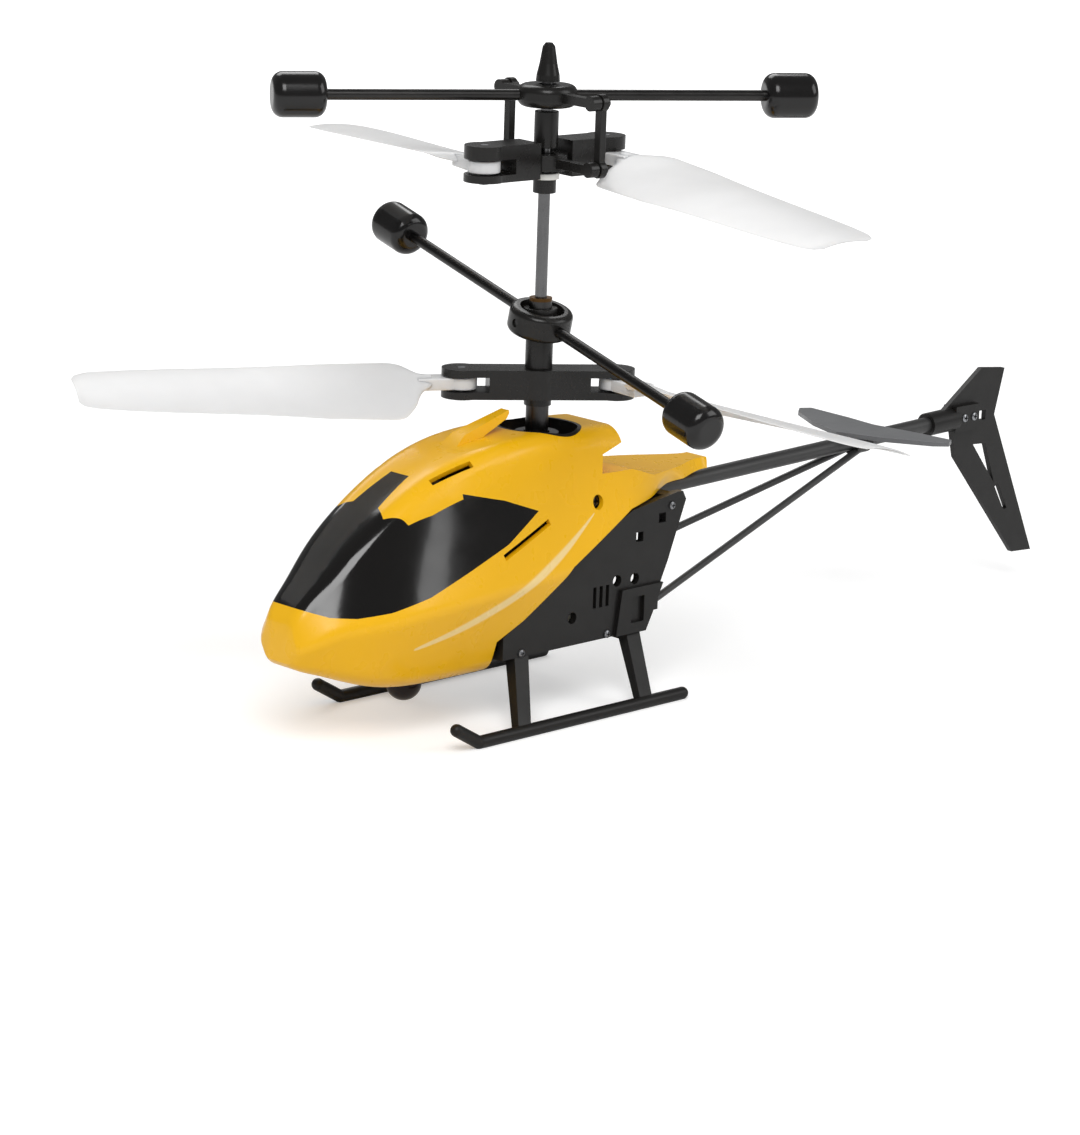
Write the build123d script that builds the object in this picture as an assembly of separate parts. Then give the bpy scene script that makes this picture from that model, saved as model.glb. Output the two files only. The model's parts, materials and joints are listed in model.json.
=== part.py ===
from build123d import *
import math
import os

# Coaxial toy helicopter.  Millimetres.  Origin: foot of the rotor mast axis on the
# ground plane.  +Z up along the mast, nose towards -Y, helicopter's left side +X.

# --- rotor mast -----------------------------------------------------------------
SHAFT_R = 1.2
TUBE_R = 2.3
TUBE_BORE_R = 1.65
RUN_GAP = 0.04            # radial clearance of every running fit
PART_GAP = 0.3            # air between pieces that move past each other
SHAFT_Z = (14.5, 128.4)
TUBE_TOP_Z = 82.0
CROSS_PIN_R = 0.5

# --- gear train -----------------------------------------------------------------
MODULE = 0.5
GEAR_TEETH = 42
PINION_TEETH = 12
GEAR_THICK = 2.6
BACKLASH = 0.12
LOWER_GEAR_Z = 16.7
MOTOR_R = 5.0
MOTOR_GAP = 0.2
MOTOR_SHAFT_R = 0.5

# --- frame ----------------------------------------------------------------------
FRAME_HALF = 13.0
PLATE_T = 1.6
FLOOR_Z = 13.7
FLOOR_T = 1.6
MOTOR_DECK_Z = 26.4
TOP_DECK_Z = 40.0
DECK_T = 1.4
SWITCH_TRAVEL = 2.0

# --- shell ----------------------------------------------------------------------
SKIN = 1.2
FLANGE_T = 0.8
ROOF_HOLE_R = 9.0
TOWER_Z = 49.8
SHELL_HEAD_R = 1.3
DOME_Y = -34.5
DOME_R = 3.6

# --- skids ----------------------------------------------------------------------
TRACK = 41.0
RUNNER_R = 1.3
RUNNER_FLAT = 0.15
RUNNER_Y = (-33.0, 24.0)
TOE = (6.0, 3.5)

# --- tail -----------------------------------------------------------------------
BOOM_R = 1.7
BOOM_START = (26.0, 38.6)
BOOM_END = (131.0, 41.6)
FIN_T = 1.2
STRUT_R = 0.75

# --- rotors ---------------------------------------------------------------------
BLADE_LEN = 78.0
BLADE_TIP_CHORD = 16.5
BLADE_ROOT_CHORD = 21.0
BLADE_T = 1.0
LOWER_ROOT_PITCH = 22.0
LOWER_TIP_PITCH = 13.0
UPPER_ROOT_PITCH = 12.0
UPPER_TIP_PITCH = 4.0
LOWER_CONING = 1.0
UPPER_CONING = (-4.5, -2.5)
GRIP_PIN_AT = 15.5
GRIP_END_R = 4.0
TAB_T = 2.4
TAB_R = 3.2
GRIP_SCREW_R = 0.8
LOWER_CLIP_Z = 65.4
LOWER_CLIP_AZ = 53.5
LOWER_BLADE_AZ = (-6.5, 241.5)
UPPER_CLIP_Z = 110.0
UPPER_CLIP_AZ = 85.5
UPPER_BLADE_AZ = (-8.0, 162.0)
LINK_AT = 14.0
LINK_PIN_R = 0.6
FLYBAR_Z = 123.0
FLYBAR_AZ = 58.6
FLYBAR_ARM = 49.5
LOWER_FLYBAR_Z = 78.0
LOWER_FLYBAR_AZ = -6.2
LOWER_FLYBAR_TILT = 13.3
ROD_R = 1.1
WEIGHT_R = 4.5
WEIGHT_LEN = 10.6

os.makedirs("parts", exist_ok=True)
BASE = (Align.CENTER, Align.CENTER, Align.MIN)


# --- helpers --------------------------------------------------------------------
def save(part, name, colour):
    part.label = name
    part.color = Color(colour)
    export_step(part, "parts/" + name + ".step")


def group(pieces):
    return Compound(children=list(pieces))


def ring_z(r_out, r_in, z_low, z_high):
    """Cylinder about the mast, bored through when r_in is more than zero."""
    body = Pos(0, 0, z_low) * Cylinder(r_out, z_high - z_low, align=BASE)
    if r_in:
        body -= Pos(0, 0, z_low - 1) * Cylinder(r_in, z_high - z_low + 2, align=BASE)
    return body


def box_between(low, high):
    size = [b - a for a, b in zip(low, high)]
    centre = [(a + b) / 2 for a, b in zip(low, high)]
    return Pos(*centre) * Box(*size)


def rod_between(a, b, radius):
    a, b = Vector(*a), Vector(*b)
    return extrude(Plane(origin=a, z_dir=b - a) * Circle(radius), (b - a).length)


def side_face(points, x=0.0):
    """Face whose outline is given in (y, z), at this x."""
    plane = Plane(origin=(x, 0, 0), x_dir=(0, 1, 0), z_dir=(1, 0, 0))
    return plane * make_face(Polyline(*points, close=True))


def side_prism(points, half_width):
    """Solid with a (y, z) outline, centred on the mirror plane."""
    return extrude(side_face(points, -half_width), 2 * half_width)


def grown(face, amount):
    return offset(face, amount, kind=Kind.INTERSECTION)


def both_sides(part):
    return part + mirror(part, about=Plane.YZ)


def turn(angle):
    """Rotation about the mast."""
    return Rot(0, 0, angle)


def tilt(height, azimuth, angle):
    """Rotation by angle about the level axis at this height and azimuth."""
    there = Pos(0, 0, height) * turn(azimuth)
    back = turn(-azimuth) * Pos(0, 0, -height)
    return there * Rot(angle, 0, 0) * back


# --- shell and canopy -----------------------------------------------------------
# Stations of the hull: y, z of belly, waist and roof, half widths of the same,
# and the radius of the long edges.
HULL = (
    (-67.2, 18.8, 21.8, 26.4, 3.4, 5.2, 3.2, 2.0),
    (-65.4, 17.4, 22.6, 29.6, 4.8, 7.4, 4.2, 2.8),
    (-61.4, 16.0, 24.8, 33.4, 6.6, 10.0, 5.0, 3.6),
    (-55.0, 13.8, 26.0, 39.6, 9.0, 12.8, 6.6, 4.4),
    (-46.0, 11.6, 27.0, 46.4, 10.0, 15.2, 7.8, 4.6),
    (-34.0, 11.0, 28.0, 52.8, 10.5, 16.2, 8.8, 4.6),
    (-20.0, 11.0, 29.0, 56.3, 10.5, 16.4, 10.0, 4.6),
    (-4.0, 11.6, 30.0, 57.0, 10.5, 16.0, 10.0, 4.8),
    (10.0, 14.0, 32.0, 56.4, 9.0, 14.8, 9.5, 5.0),
    (22.0, 24.0, 40.0, 55.2, 7.0, 11.5, 8.5, 4.0),
    (34.0, 34.0, 43.0, 51.0, 4.5, 7.5, 5.0, 2.4),
    (47.0, 41.0, 43.3, 46.2, 2.4, 3.2, 2.4, 1.0),
)
# Outlines in (y, z).
TAIL_CUT = (
    (7.6, 47.7), (8.4, 51.4), (14.4, 53.0), (13.6, 70.0),
    (70.0, 70.0), (70.0, 43.6), (47.0, 44.4), (24.0, 45.0), (17.0, 47.3),
)
UNDER_CUT = (
    (-21.5, 0.0), (-21.5, 17.8), (-15.4, 21.4), (-3.6, 31.0),
    (15.3, 39.6), (30.0, 42.0), (70.0, 42.4), (70.0, 0.0),
)
WINDOW = (
    (-80.0, 30.4), (-66.0, 29.8), (-61.4, 28.2), (-56.9, 27.9), (-50.2, 28.5), (-41.4, 30.4), (-31.2, 33.9),
    (-20.5, 37.8), (-11.6, 43.1), (-20.1, 46.2), (-32.9, 49.3), (-36.8, 51.5), (-36.8, 62.0), (-80.0, 62.0),
)
# Outline in (x, y) of the roof tongue that comes down over each side of the window.
TONGUE = ((2.6, -30.0), (2.6, -37.5), (3.6, -45.6), (6.7, -47.0), (9.6, -43.0), (10.4, -37.5), (11.0, -30.0))
HORN = ((-30.0, 51.0), (-21.5, 57.6), (-8.2, 61.2), (-9.8, 59.4), (-16.4, 56.8), (-17.5, 54.0), (-24.0, 51.0))
HORN_HALF = (3.4, 1.0)


def hull_section(station, inset):
    y, z_belly, z_waist, z_roof, w_belly, w_waist, w_roof, radius = station
    half = (
        (w_belly - 0.3 * inset, z_belly + inset),
        (w_waist - inset, z_waist),
        (w_roof - 0.6 * inset, z_roof - inset),
    )
    outline = [(x, z) for x, z in half] + [(-x, z) for x, z in reversed(half)]
    face = make_face(Polyline(*outline, close=True))
    face = fillet(face.vertices(), max(radius - 0.6 * inset, 0.3 * radius))
    return Plane(origin=(0, y, 0), x_dir=(1, 0, 0), z_dir=(0, -1, 0)) * face


def hull(inset, stations=HULL):
    first = (stations[0][0] + inset,) + stations[0][1:]
    last = (stations[-1][0] - inset,) + stations[-1][1:]
    return loft([hull_section(station, inset) for station in (first, *stations[1:-1], last)])


outer = hull(0.0)
inner = hull(SKIN)
lining = hull(SKIN + FLANGE_T, HULL[:9])
frame_room = hull(SKIN + FLANGE_T + PART_GAP, HULL[:10])
tail_cut = side_prism(TAIL_CUT, 40.0)
tail_wall = extrude(grown(side_face(TAIL_CUT, -40.0), SKIN), 80.0)
under_cut = side_prism(UNDER_CUT, 40.0)
frame_room += extrude(grown(side_face(UNDER_CUT, -40.0), -PART_GAP), 80.0)
window_zone = side_prism(WINDOW, 40.0)
tongue_zone = both_sides(Pos(0, 0, 44.0) * extrude(make_face(Polyline(*TONGUE, close=True)), 20.0))
window_zone -= tongue_zone

horn = side_prism(HORN, HORN_HALF[0])
horn_taper = loft([
    Pos(0, 0, 50.0) * Rectangle(2 * HORN_HALF[0], 80.0),
    Pos(0, 0, 61.5) * Rectangle(2 * HORN_HALF[1], 80.0),
])
horn &= horn_taper

skin = outer - tail_cut - under_cut - (inner - tail_wall)
roof_hole = Pos(0, 0, 54.6) * Cylinder(ROOF_HOLE_R, 10.0, align=BASE)
skin += horn - inner
skin -= roof_hole
vent = Pos(13.5, -15.5, 38.0) * Rot(22.0, 0, 0) * Box(9.0, 14.0, 1.3)
shoulder_slot = Pos(8.3, -31.0, 52.0) * Rot(0, 25.0, 0) * Rot(14.0, 0, 0) * Box(1.4, 10.0, 8.0)
shell_screw_at = (5.4, 42.4)
screw_hole = Pos(15.0, *shell_screw_at) * Rot(0, 90, 0) * Cylinder(SHELL_HEAD_R + 0.2, 10.0)
skin -= both_sides(vent) + both_sides(screw_hole)
body_shell = skin - window_zone - both_sides(shoulder_slot)
dome_seat = Pos(0, DOME_Y, 0) * Cylinder(DOME_R, 30.0)
body_shell -= dome_seat

window = (outer - inner) & window_zone
flange_zone = extrude(grown(side_face(WINDOW, -40.0), 1.4), 80.0)
window += (inner - lining) & flange_zone
save(body_shell, "body_shell", 0xE8B81C)
save(window, "canopy_window", 0x151517)

# --- mast tower and sensor ------------------------------------------------------
tower = ring_z(ROOF_HOLE_R, TUBE_R + PART_GAP, TOWER_Z, TOWER_Z + SKIN)
tower += ring_z(ROOF_HOLE_R, ROOF_HOLE_R - 0.8, TOWER_Z, 60.0) & outer
tower += ring_z(4.5, TUBE_R + PART_GAP, TOP_DECK_Z + DECK_T, TOWER_Z + 5.6)
tower -= tail_wall + body_shell
save(tower, "mast_tower", 0x242426)

dome_centre_z = 9.0
sensor = Pos(0, DOME_Y, dome_centre_z) * Sphere(DOME_R)
sensor += Pos(0, DOME_Y, dome_centre_z) * Cylinder(DOME_R, 5.6, align=BASE)
save(sensor, "sensor_dome", 0x2B1B22)

# --- frame ----------------------------------------------------------------------
inside = FRAME_HALF - PLATE_T
PLATE = (
    (-20.0, FLOOR_Z), (19.6, FLOOR_Z), (21.6, 17.6), (26.1, 27.4),
    (30.8, 39.6), (29.8, 41.4), (-16.0, 41.4), (-20.0, 37.0),
)
RIB = ((11.0, FLOOR_Z), (19.6, FLOOR_Z), (21.6, 17.6), (24.2, 23.2), (12.4, 23.2))
SIDE_HOLES = ((11.5, 25.2), (16.6, 24.9), (-1.0, 19.4))
SIDE_SLOTS = ((-9.0, 34.0, 5.0, 3.0), (5.0, 35.1, 2.0, 2.0), (17.6, 33.5, 2.0, 2.0), (24.0, 36.6, 2.0, 2.0))
FRAME_SCREWS = ((-15.0, FLOOR_Z + FLOOR_T / 2), (9.0, FLOOR_Z + FLOOR_T / 2), (26.6, 38.8))
FRAME_SCREW_R = 0.45


def cross_bar(y, z, radius, length):
    """Round bar across the helicopter, centred on the mirror plane."""
    return Pos(0, y, z) * Rot(0, 90, 0) * Cylinder(radius, length)


plate = extrude(side_face(PLATE, inside), PLATE_T)
plate += extrude(side_face(RIB, FRAME_HALF), 0.8) - Pos(FRAME_HALF, 17.0, 18.6) * Box(4, 3.6, 5.4)
plate += box_between((inside, 20.0, 17.4), (FRAME_HALF, 23.6, 20.6))
for y, z, length, height in SIDE_SLOTS:
    plate -= Pos(FRAME_HALF, y, z) * Box(4 * PLATE_T, length, height)
for y, z in SIDE_HOLES:
    plate -= cross_bar(y, z, 1.2, 60.0)
for step in range(3):
    plate -= Pos(FRAME_HALF, 5.2 + 1.8 * step, 22.6) * Box(4 * PLATE_T, 0.9, 4.4)
for y, z in FRAME_SCREWS:
    plate -= cross_bar(y, z, FRAME_SCREW_R, 60.0)
plate -= cross_bar(*shell_screw_at, SHELL_HEAD_R + PART_GAP, 60.0)
plate = (plate & frame_room) - window
plates = {"left": plate, "right": mirror(plate, about=Plane.YZ)}
for side, piece in plates.items():
    save(piece, "frame_plate_" + side, 0x2C2C2E)

floor = box_between((-inside, -20.0, FLOOR_Z), (inside, 19.0, FLOOR_Z + FLOOR_T))
floor += box_between((-8.6, -48.0, FLOOR_Z), (8.6, -20.0, FLOOR_Z + FLOOR_T))
BUSH_R = 3.4
floor -= ring_z(BUSH_R - 1.0, 0, FLOOR_Z - 1, FLOOR_Z + 3)
floor -= Pos(0, DOME_Y, 0) * Cylinder(DOME_R, 60.0)
BOARD_Z = 24.0
BATTERY_HALF = 7.0
BATTERY_TOP = 21.4
post_corners = [(x, y) for x in (-8.0, 8.0) for y in (-46.0, -23.0)]
strap = box_between((-8.6, -40.0, FLOOR_Z + FLOOR_T), (8.6, -36.6, 22.2))
floor += strap - box_between((-7.4, -50.0, 0.0), (7.4, -20.0, BATTERY_TOP + 0.1))
for x, y in post_corners:
    floor += Pos(x, y, FLOOR_Z + FLOOR_T) * Box(1.2, 2.4, BOARD_Z - FLOOR_Z - FLOOR_T, align=BASE)
motor_deck = box_between((-inside, -19.4, MOTOR_DECK_Z), (inside, 19.4, MOTOR_DECK_Z + DECK_T))
motor_deck -= ring_z(BUSH_R, 0, MOTOR_DECK_Z - 1, MOTOR_DECK_Z + 3)
top_deck = box_between((-inside, -16.0, TOP_DECK_Z), (inside, 21.6, TOP_DECK_Z + DECK_T))
top_deck -= ring_z(BUSH_R, 0, TOP_DECK_Z - 1, TOP_DECK_Z + 3)
BOSS_R = 1.6
gear_gap = MODULE * (GEAR_TEETH + PINION_TEETH) / 2
for y in (-gear_gap, gear_gap):
    motor_deck -= Pos(0, y, MOTOR_DECK_Z) * Cylinder(BOSS_R, 9.0)

screw_y, screw_z = shell_screw_at
boss = box_between((6.5, screw_y - 2.0, TOP_DECK_Z + DECK_T), (11.0, screw_y + 2.0, screw_z + 1.8))
top_deck += both_sides(boss)
shell_screw = Pos(7.5, screw_y, screw_z) * Rot(0, 90, 0) * Cylinder(0.6, 3.5, align=BASE)
shell_screw += Pos(11.0, screw_y, screw_z) * Rot(0, 90, 0) * Cylinder(SHELL_HEAD_R, 1.2, align=BASE)
top_deck -= both_sides(shell_screw)
save(group([shell_screw, mirror(shell_screw, about=Plane.YZ)]), "shell_screws", 0x77777C)

frame_screws = []
for y, z in FRAME_SCREWS:
    shank = Pos(inside - 3.0, y, z) * Rot(0, 90, 0) * Cylinder(FRAME_SCREW_R, PLATE_T + 3.0, align=BASE)
    head = Pos(FRAME_HALF, y, z) * Rot(0, 90, 0) * Cylinder(FLOOR_T / 2, 0.6, align=BASE)
    frame_screws += [shank + head, mirror(shank + head, about=Plane.YZ)]
for screw in frame_screws:
    floor -= screw
top_deck = (top_deck & frame_room) - window
save(group(frame_screws), "frame_screws", 0x8F8F94)
save(floor, "frame_floor", 0x2C2C2E)
save(motor_deck, "motor_deck", 0x2C2C2E)
save(top_deck, "top_deck", 0x2C2C2E)

# --- power and control ----------------------------------------------------------
battery = box_between((-BATTERY_HALF, -47.0, FLOOR_Z + FLOOR_T), (BATTERY_HALF, -21.0, BATTERY_TOP))
battery = fillet(battery.edges().filter_by(Axis.Y), 1.2)
save(battery, "battery", 0x9FA4A8)
board = box_between((-9.0, -48.0, BOARD_Z), (9.0, -21.4, BOARD_Z + 1.0))
save(board, "control_board", 0x1E6B3A)
board_top = BOARD_Z + 1.0
chips = [
    Pos(x, y, board_top) * Box(a, b, c, align=BASE)
    for x, y, a, b, c in (
        (-3.0, -38.0, 5.0, 4.0, 1.4), (4.5, -40.0, 3.0, 3.0, 1.0), (4.5, -34.0, 3.0, 3.0, 1.0),
        (-4.0, -30.0, 6.0, 2.2, 2.4), (-5.0, -45.0, 3.2, 1.6, 1.2), (3.5, -27.0, 2.0, 1.2, 0.8),
    )
]
chips.append(Pos(4.0, -45.0, board_top) * Cylinder(1.6, 3.6, align=BASE))
lamp = Pos(0.0, -46.4, board_top) * Cylinder(1.0, 1.4, align=BASE)
chips.append(lamp + Pos(0.0, -46.4, board_top + 1.4) * Sphere(1.0))
save(group(chips), "board_components", 0x2A2A2C)

switch_y = -8.0
reach = SWITCH_TRAVEL + PART_GAP
housing = box_between((-3.0, switch_y - 4.5, FLOOR_Z - 2.4), (3.0, switch_y + 4.5, FLOOR_Z))
housing -= box_between((-1.0, switch_y - reach, FLOOR_Z - 4.0), (1.0, switch_y + reach, FLOOR_Z - 0.4))
save(housing, "switch_housing", 0xA9ABAE)
knob = box_between((-0.7, switch_y - SWITCH_TRAVEL, FLOOR_Z - 3.6), (0.7, switch_y, FLOOR_Z - 0.7))
save(knob, "switch_knob", 0x1C1C1E)
socket = box_between((-3.2, 4.2, FLOOR_Z - 3.0), (3.2, 9.8, FLOOR_Z))
for x in (-1.3, 1.3):
    socket -= Pos(x, 7.0, FLOOR_Z - 3.0) * Cylinder(0.6, 4.6)
save(socket, "charging_socket", 0xE8E8E6)

# --- motors and pinions ---------------------------------------------------------
UPPER_GEAR_Z = LOWER_GEAR_Z + GEAR_THICK + 1.1
can_low = MOTOR_DECK_Z + DECK_T
can_high = TOP_DECK_Z - MOTOR_GAP
pitch_r = MODULE * GEAR_TEETH / 2


def gear_face(teeth, phase):
    """Involute spur gear outline; one tooth is centred on the phase angle."""
    pressure = math.radians(20)
    r_pitch = MODULE * teeth / 2
    r_base = r_pitch * math.cos(pressure)
    r_tip = r_pitch + 0.8 * MODULE
    r_root = r_pitch - 1.15 * MODULE
    half = (math.pi * MODULE / 2 - BACKLASH / 2) / (2 * r_pitch)
    inv_pitch = math.tan(pressure) - pressure
    flank = [(r_root, half + inv_pitch)] if r_root < r_base else []
    r_start = max(r_root, r_base)
    for step in range(5):
        radius = r_start + (r_tip - r_start) * step / 4
        alpha = math.acos(min(1.0, r_base / radius))
        flank.append((radius, half + inv_pitch - (math.tan(alpha) - alpha)))
    points = []
    for tooth in range(teeth):
        middle = math.radians(phase) + 2 * math.pi * tooth / teeth
        for radius, angle in flank:
            points.append((radius * math.cos(middle - angle), radius * math.sin(middle - angle)))
        for radius, angle in reversed(flank):
            points.append((radius * math.cos(middle + angle), radius * math.sin(middle + angle)))
    return make_face(Polyline(*points, close=True))


drive = {"front": (-gear_gap, LOWER_GEAR_Z, -90.0), "rear": (gear_gap, UPPER_GEAR_Z, 90.0)}
for side, (y, z, gear_phase) in drive.items():
    can = Pos(0, y, can_low) * Cylinder(MOTOR_R, can_high - can_low, align=BASE)
    can = chamfer(can.edges().filter_by(GeomType.CIRCLE), 0.4)
    can += Pos(0, y, MOTOR_DECK_Z + 0.2) * Cylinder(BOSS_R, DECK_T - 0.2, align=BASE)
    can -= Pos(0, y, MOTOR_DECK_Z) * Cylinder(MOTOR_SHAFT_R + RUN_GAP, 11.0, align=BASE)
    save(can, "motor_" + side, 0x9A9DA1)
    axle = Pos(0, y, z - 0.6) * Cylinder(MOTOR_SHAFT_R, MOTOR_DECK_Z + 10.4 - z + 0.6, align=BASE)
    pinion_phase = gear_phase + 180.0 + 180.0 / PINION_TEETH
    pinion = Pos(0, y, z - 0.4) * extrude(gear_face(PINION_TEETH, pinion_phase), GEAR_THICK + 0.8)
    pinion -= Pos(0, y, z - 1) * Cylinder(MOTOR_SHAFT_R, 8.0, align=BASE)
    save(group([axle, pinion]), "pinion_" + side, 0xC9A24A)


def main_gear(z, phase, bore, hub_r, hub_low, hub_high):
    wheel = Pos(0, 0, z) * extrude(gear_face(GEAR_TEETH, phase), GEAR_THICK)
    for spoke in range(5):
        wheel -= turn(36 + 72 * spoke) * Pos(6.2, 0, z) * Cylinder(1.7, 20.0)
    wheel += ring_z(hub_r, 0, z - hub_low, z + GEAR_THICK + hub_high)
    return wheel - ring_z(bore, 0, z - 5, z + GEAR_THICK + 5)


lower_gear = main_gear(LOWER_GEAR_Z, drive["front"][2], SHAFT_R, 2.6, 0.4, 0.6)
upper_gear = main_gear(UPPER_GEAR_Z, drive["rear"][2], TUBE_R, 3.8, 0.0, 1.4)
save(lower_gear, "main_gear_lower", 0xE9E7DF)
save(upper_gear, "main_gear_upper", 0xE9E7DF)

# --- shafts and bushes ----------------------------------------------------------
head = turn(UPPER_CLIP_AZ)
shaft = ring_z(SHAFT_R, 0, *SHAFT_Z)
for z in (UPPER_CLIP_Z, FLYBAR_Z):
    shaft -= head * Pos(0, 0, z) * Rot(0, 90, 0) * Cylinder(CROSS_PIN_R, 10.0)
save(shaft, "inner_shaft", 0x5E5E60)
save(ring_z(TUBE_R, TUBE_BORE_R, UPPER_GEAR_Z, TUBE_TOP_Z), "outer_tube", 0x3A3838)
tube_bushes = [
    ring_z(TUBE_BORE_R, SHAFT_R + RUN_GAP, UPPER_GEAR_Z, UPPER_GEAR_Z + 3.0),
    ring_z(TUBE_BORE_R, SHAFT_R + RUN_GAP, TUBE_TOP_Z - 3.0, TUBE_TOP_Z)
    + ring_z(TUBE_R, SHAFT_R + RUN_GAP, TUBE_TOP_Z, TUBE_TOP_Z + 0.7),
]
save(group(tube_bushes), "tube_bushes", 0xC98F3C)
frame_bushes = [
    ring_z(BUSH_R - 1.0, SHAFT_R + RUN_GAP, FLOOR_Z, FLOOR_Z + FLOOR_T)
    + ring_z(BUSH_R, SHAFT_R + RUN_GAP, FLOOR_Z + FLOOR_T, FLOOR_Z + FLOOR_T + 0.5),
    ring_z(BUSH_R, TUBE_R + RUN_GAP, MOTOR_DECK_Z, MOTOR_DECK_Z + DECK_T)
    + ring_z(BUSH_R + 0.8, TUBE_R + RUN_GAP, MOTOR_DECK_Z + DECK_T, MOTOR_DECK_Z + DECK_T + 0.5),
    ring_z(BUSH_R, TUBE_R + RUN_GAP, TOP_DECK_Z, TOP_DECK_Z + DECK_T)
    + ring_z(BUSH_R + 0.8, TUBE_R + RUN_GAP, TOP_DECK_Z - 0.5, TOP_DECK_Z),
]
save(group(frame_bushes), "frame_bushes", 0xC98F3C)

# --- skids ----------------------------------------------------------------------
half_track = TRACK / 2
runner_z = RUNNER_R - RUNNER_FLAT
toe_start = (half_track, RUNNER_Y[0], runner_z)
toe_end = (half_track, RUNNER_Y[0] - TOE[0], runner_z + TOE[1])
heel = (half_track, RUNNER_Y[1], runner_z)
runner = rod_between(toe_start, heel, RUNNER_R) + rod_between(toe_start, toe_end, RUNNER_R)
for corner in (toe_start, toe_end, heel):
    runner += Pos(*corner) * Sphere(RUNNER_R)
runner -= Pos(half_track, 0, -5.0) * Box(10.0, 200.0, 10.0)
save(runner, "runner_left", 0x2C2C2E)
save(mirror(runner, about=Plane.YZ), "runner_right", 0x2C2C2E)
for name, y_top, y_foot in (("front", -14.8, -21.4), ("rear", 16.6, 12.9)):
    leg = loft([
        Pos(11.6, y_top, FLOOR_Z) * Rectangle(2.8, 3.8),
        Pos(half_track, y_foot, runner_z) * Rectangle(2.0, 3.4),
    ])
    arch = both_sides(leg) + box_between((-11.0, y_top - 1.9, FLOOR_Z - 1.6), (11.0, y_top + 1.9, FLOOR_Z))
    save(arch - both_sides(runner), "skid_legs_" + name, 0x2C2C2E)

# --- tail -----------------------------------------------------------------------
boom_rise = (BOOM_END[1] - BOOM_START[1]) / (BOOM_END[0] - BOOM_START[0])


def boom_z(y):
    return BOOM_START[1] + boom_rise * (y - BOOM_START[0])


def boom_span(y_low, y_high, radius):
    return rod_between((0, y_low, boom_z(y_low)), (0, y_high, boom_z(y_high)), radius)


boom = boom_span(*[end[0] for end in (BOOM_START, BOOM_END)], BOOM_R)
save(boom, "tail_boom", 0x232325)
boom_block = box_between((-inside, 22.4, 34.8), (inside, 28.4, 41.0))
boom_block -= boom + both_sides(box_between((4.0, 20.0, 30.0), (30.0, 25.0, 50.0)))
for screw in frame_screws:
    boom_block -= screw
save(boom_block, "boom_block", 0x2C2C2E)

clamp_y = (95.6, 100.4)
clamp = boom_span(*clamp_y, BOOM_R + 1.0) - boom
clamp -= box_between((-5, 90.0, boom_z(clamp_y[0]) + 0.6), (5, 105.0, 60.0))
save(clamp, "strut_clamp", 0x232325)
struts = []
for side, sign in (("left", 1), ("right", -1)):
    foot = (sign * (FRAME_HALF - PLATE_T / 2), 22.6, 19.0)
    top = (sign * 1.3, 98.0, boom_z(98.0) - 1.3)
    strut = rod_between(foot, top, STRUT_R) - plates[side] - clamp - boom
    struts.append(max(strut.solids(), key=lambda solid: solid.volume))
save(group(struts), "boom_struts", 0x232325)

STABILISER = (
    (0.0, 91.0), (10.0, 94.6), (19.6, 100.2), (21.8, 103.0), (20.4, 105.4), (9.0, 104.6), (0.0, 103.4),
)
stab_z = boom_z(104.0) + BOOM_R + 0.1
wing = Pos(0, 0, stab_z) * extrude(make_face(Polyline(*STABILISER, close=True)), 1.0)
wing = both_sides(wing)
saddle = box_between((-2.5, 100.6, boom_z(100.6) + 0.2), (2.5, 103.2, stab_z + 0.5))
stabiliser = wing + saddle - boom - clamp
save(stabiliser, "tail_stabiliser", 0x6A6B6D)

FIN = (
    (126.4, 44.0), (138.6, 52.3), (146.6, 51.4), (143.9, 41.0), (160.0, 7.2),
    (153.2, 7.6), (131.0, 32.7), (129.4, 39.0),
)
FIN_HOLES = (
    ((137.0, 34.9), (141.4, 34.6), (145.2, 25.0)),
    ((145.6, 24.0), (146.9, 24.6), (150.4, 18.4), (149.3, 18.0)),
    ((138.6, 40.2), (140.8, 40.2), (140.8, 42.4), (138.6, 42.4)),
)
fin = side_prism(FIN, FIN_T / 2)
for hole in FIN_HOLES:
    fin -= side_prism(hole, FIN_T)
fin -= boom
bracket = boom_span(121.0, 130.2, BOOM_R + 0.9) + box_between((-1.9, 129.0, 38.8), (1.9, 137.0, 44.6))
bracket -= boom + fin
tail_screws = []
for y in (132.0, 135.2):
    screw = cross_bar(y, 41.8, 0.45, 3.8) + Pos(1.9, y, 41.8) * Rot(0, 90, 0) * Cylinder(0.9, 0.5, align=BASE)
    tail_screws.append(screw)
for screw in tail_screws:
    bracket -= screw
    fin -= screw
save(fin, "tail_fin", 0x232325)
save(bracket, "fin_bracket", 0x232325)
save(group(tail_screws), "tail_screws", 0x8F8F94)

# --- blades and clips -----------------------------------------------------------
NECK_END, SHOULDER, FULL_CHORD = 7.6, 10.4, 14.0   # distances from the pin
LEAD_SHARE = 0.35                                # part of the chord ahead of the pin


def blade_section(s, rise, lead, trail, pitch, thick, camber, edge):
    middle = (lead + trail) / 2
    outline = (
        ThreePointArc((lead, edge), (middle, camber + thick / 2), (trail, edge))
        + Line((trail, edge), (trail, -edge))
        + ThreePointArc((trail, -edge), (middle, camber - thick / 2), (lead, -edge))
        + Line((lead, -edge), (lead, edge))
    )
    plane = Plane(origin=(s, 0, rise), x_dir=(0, 1, 0), z_dir=(1, 0, 0))
    return plane * Rot(0, 0, pitch) * make_face(outline)


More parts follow.
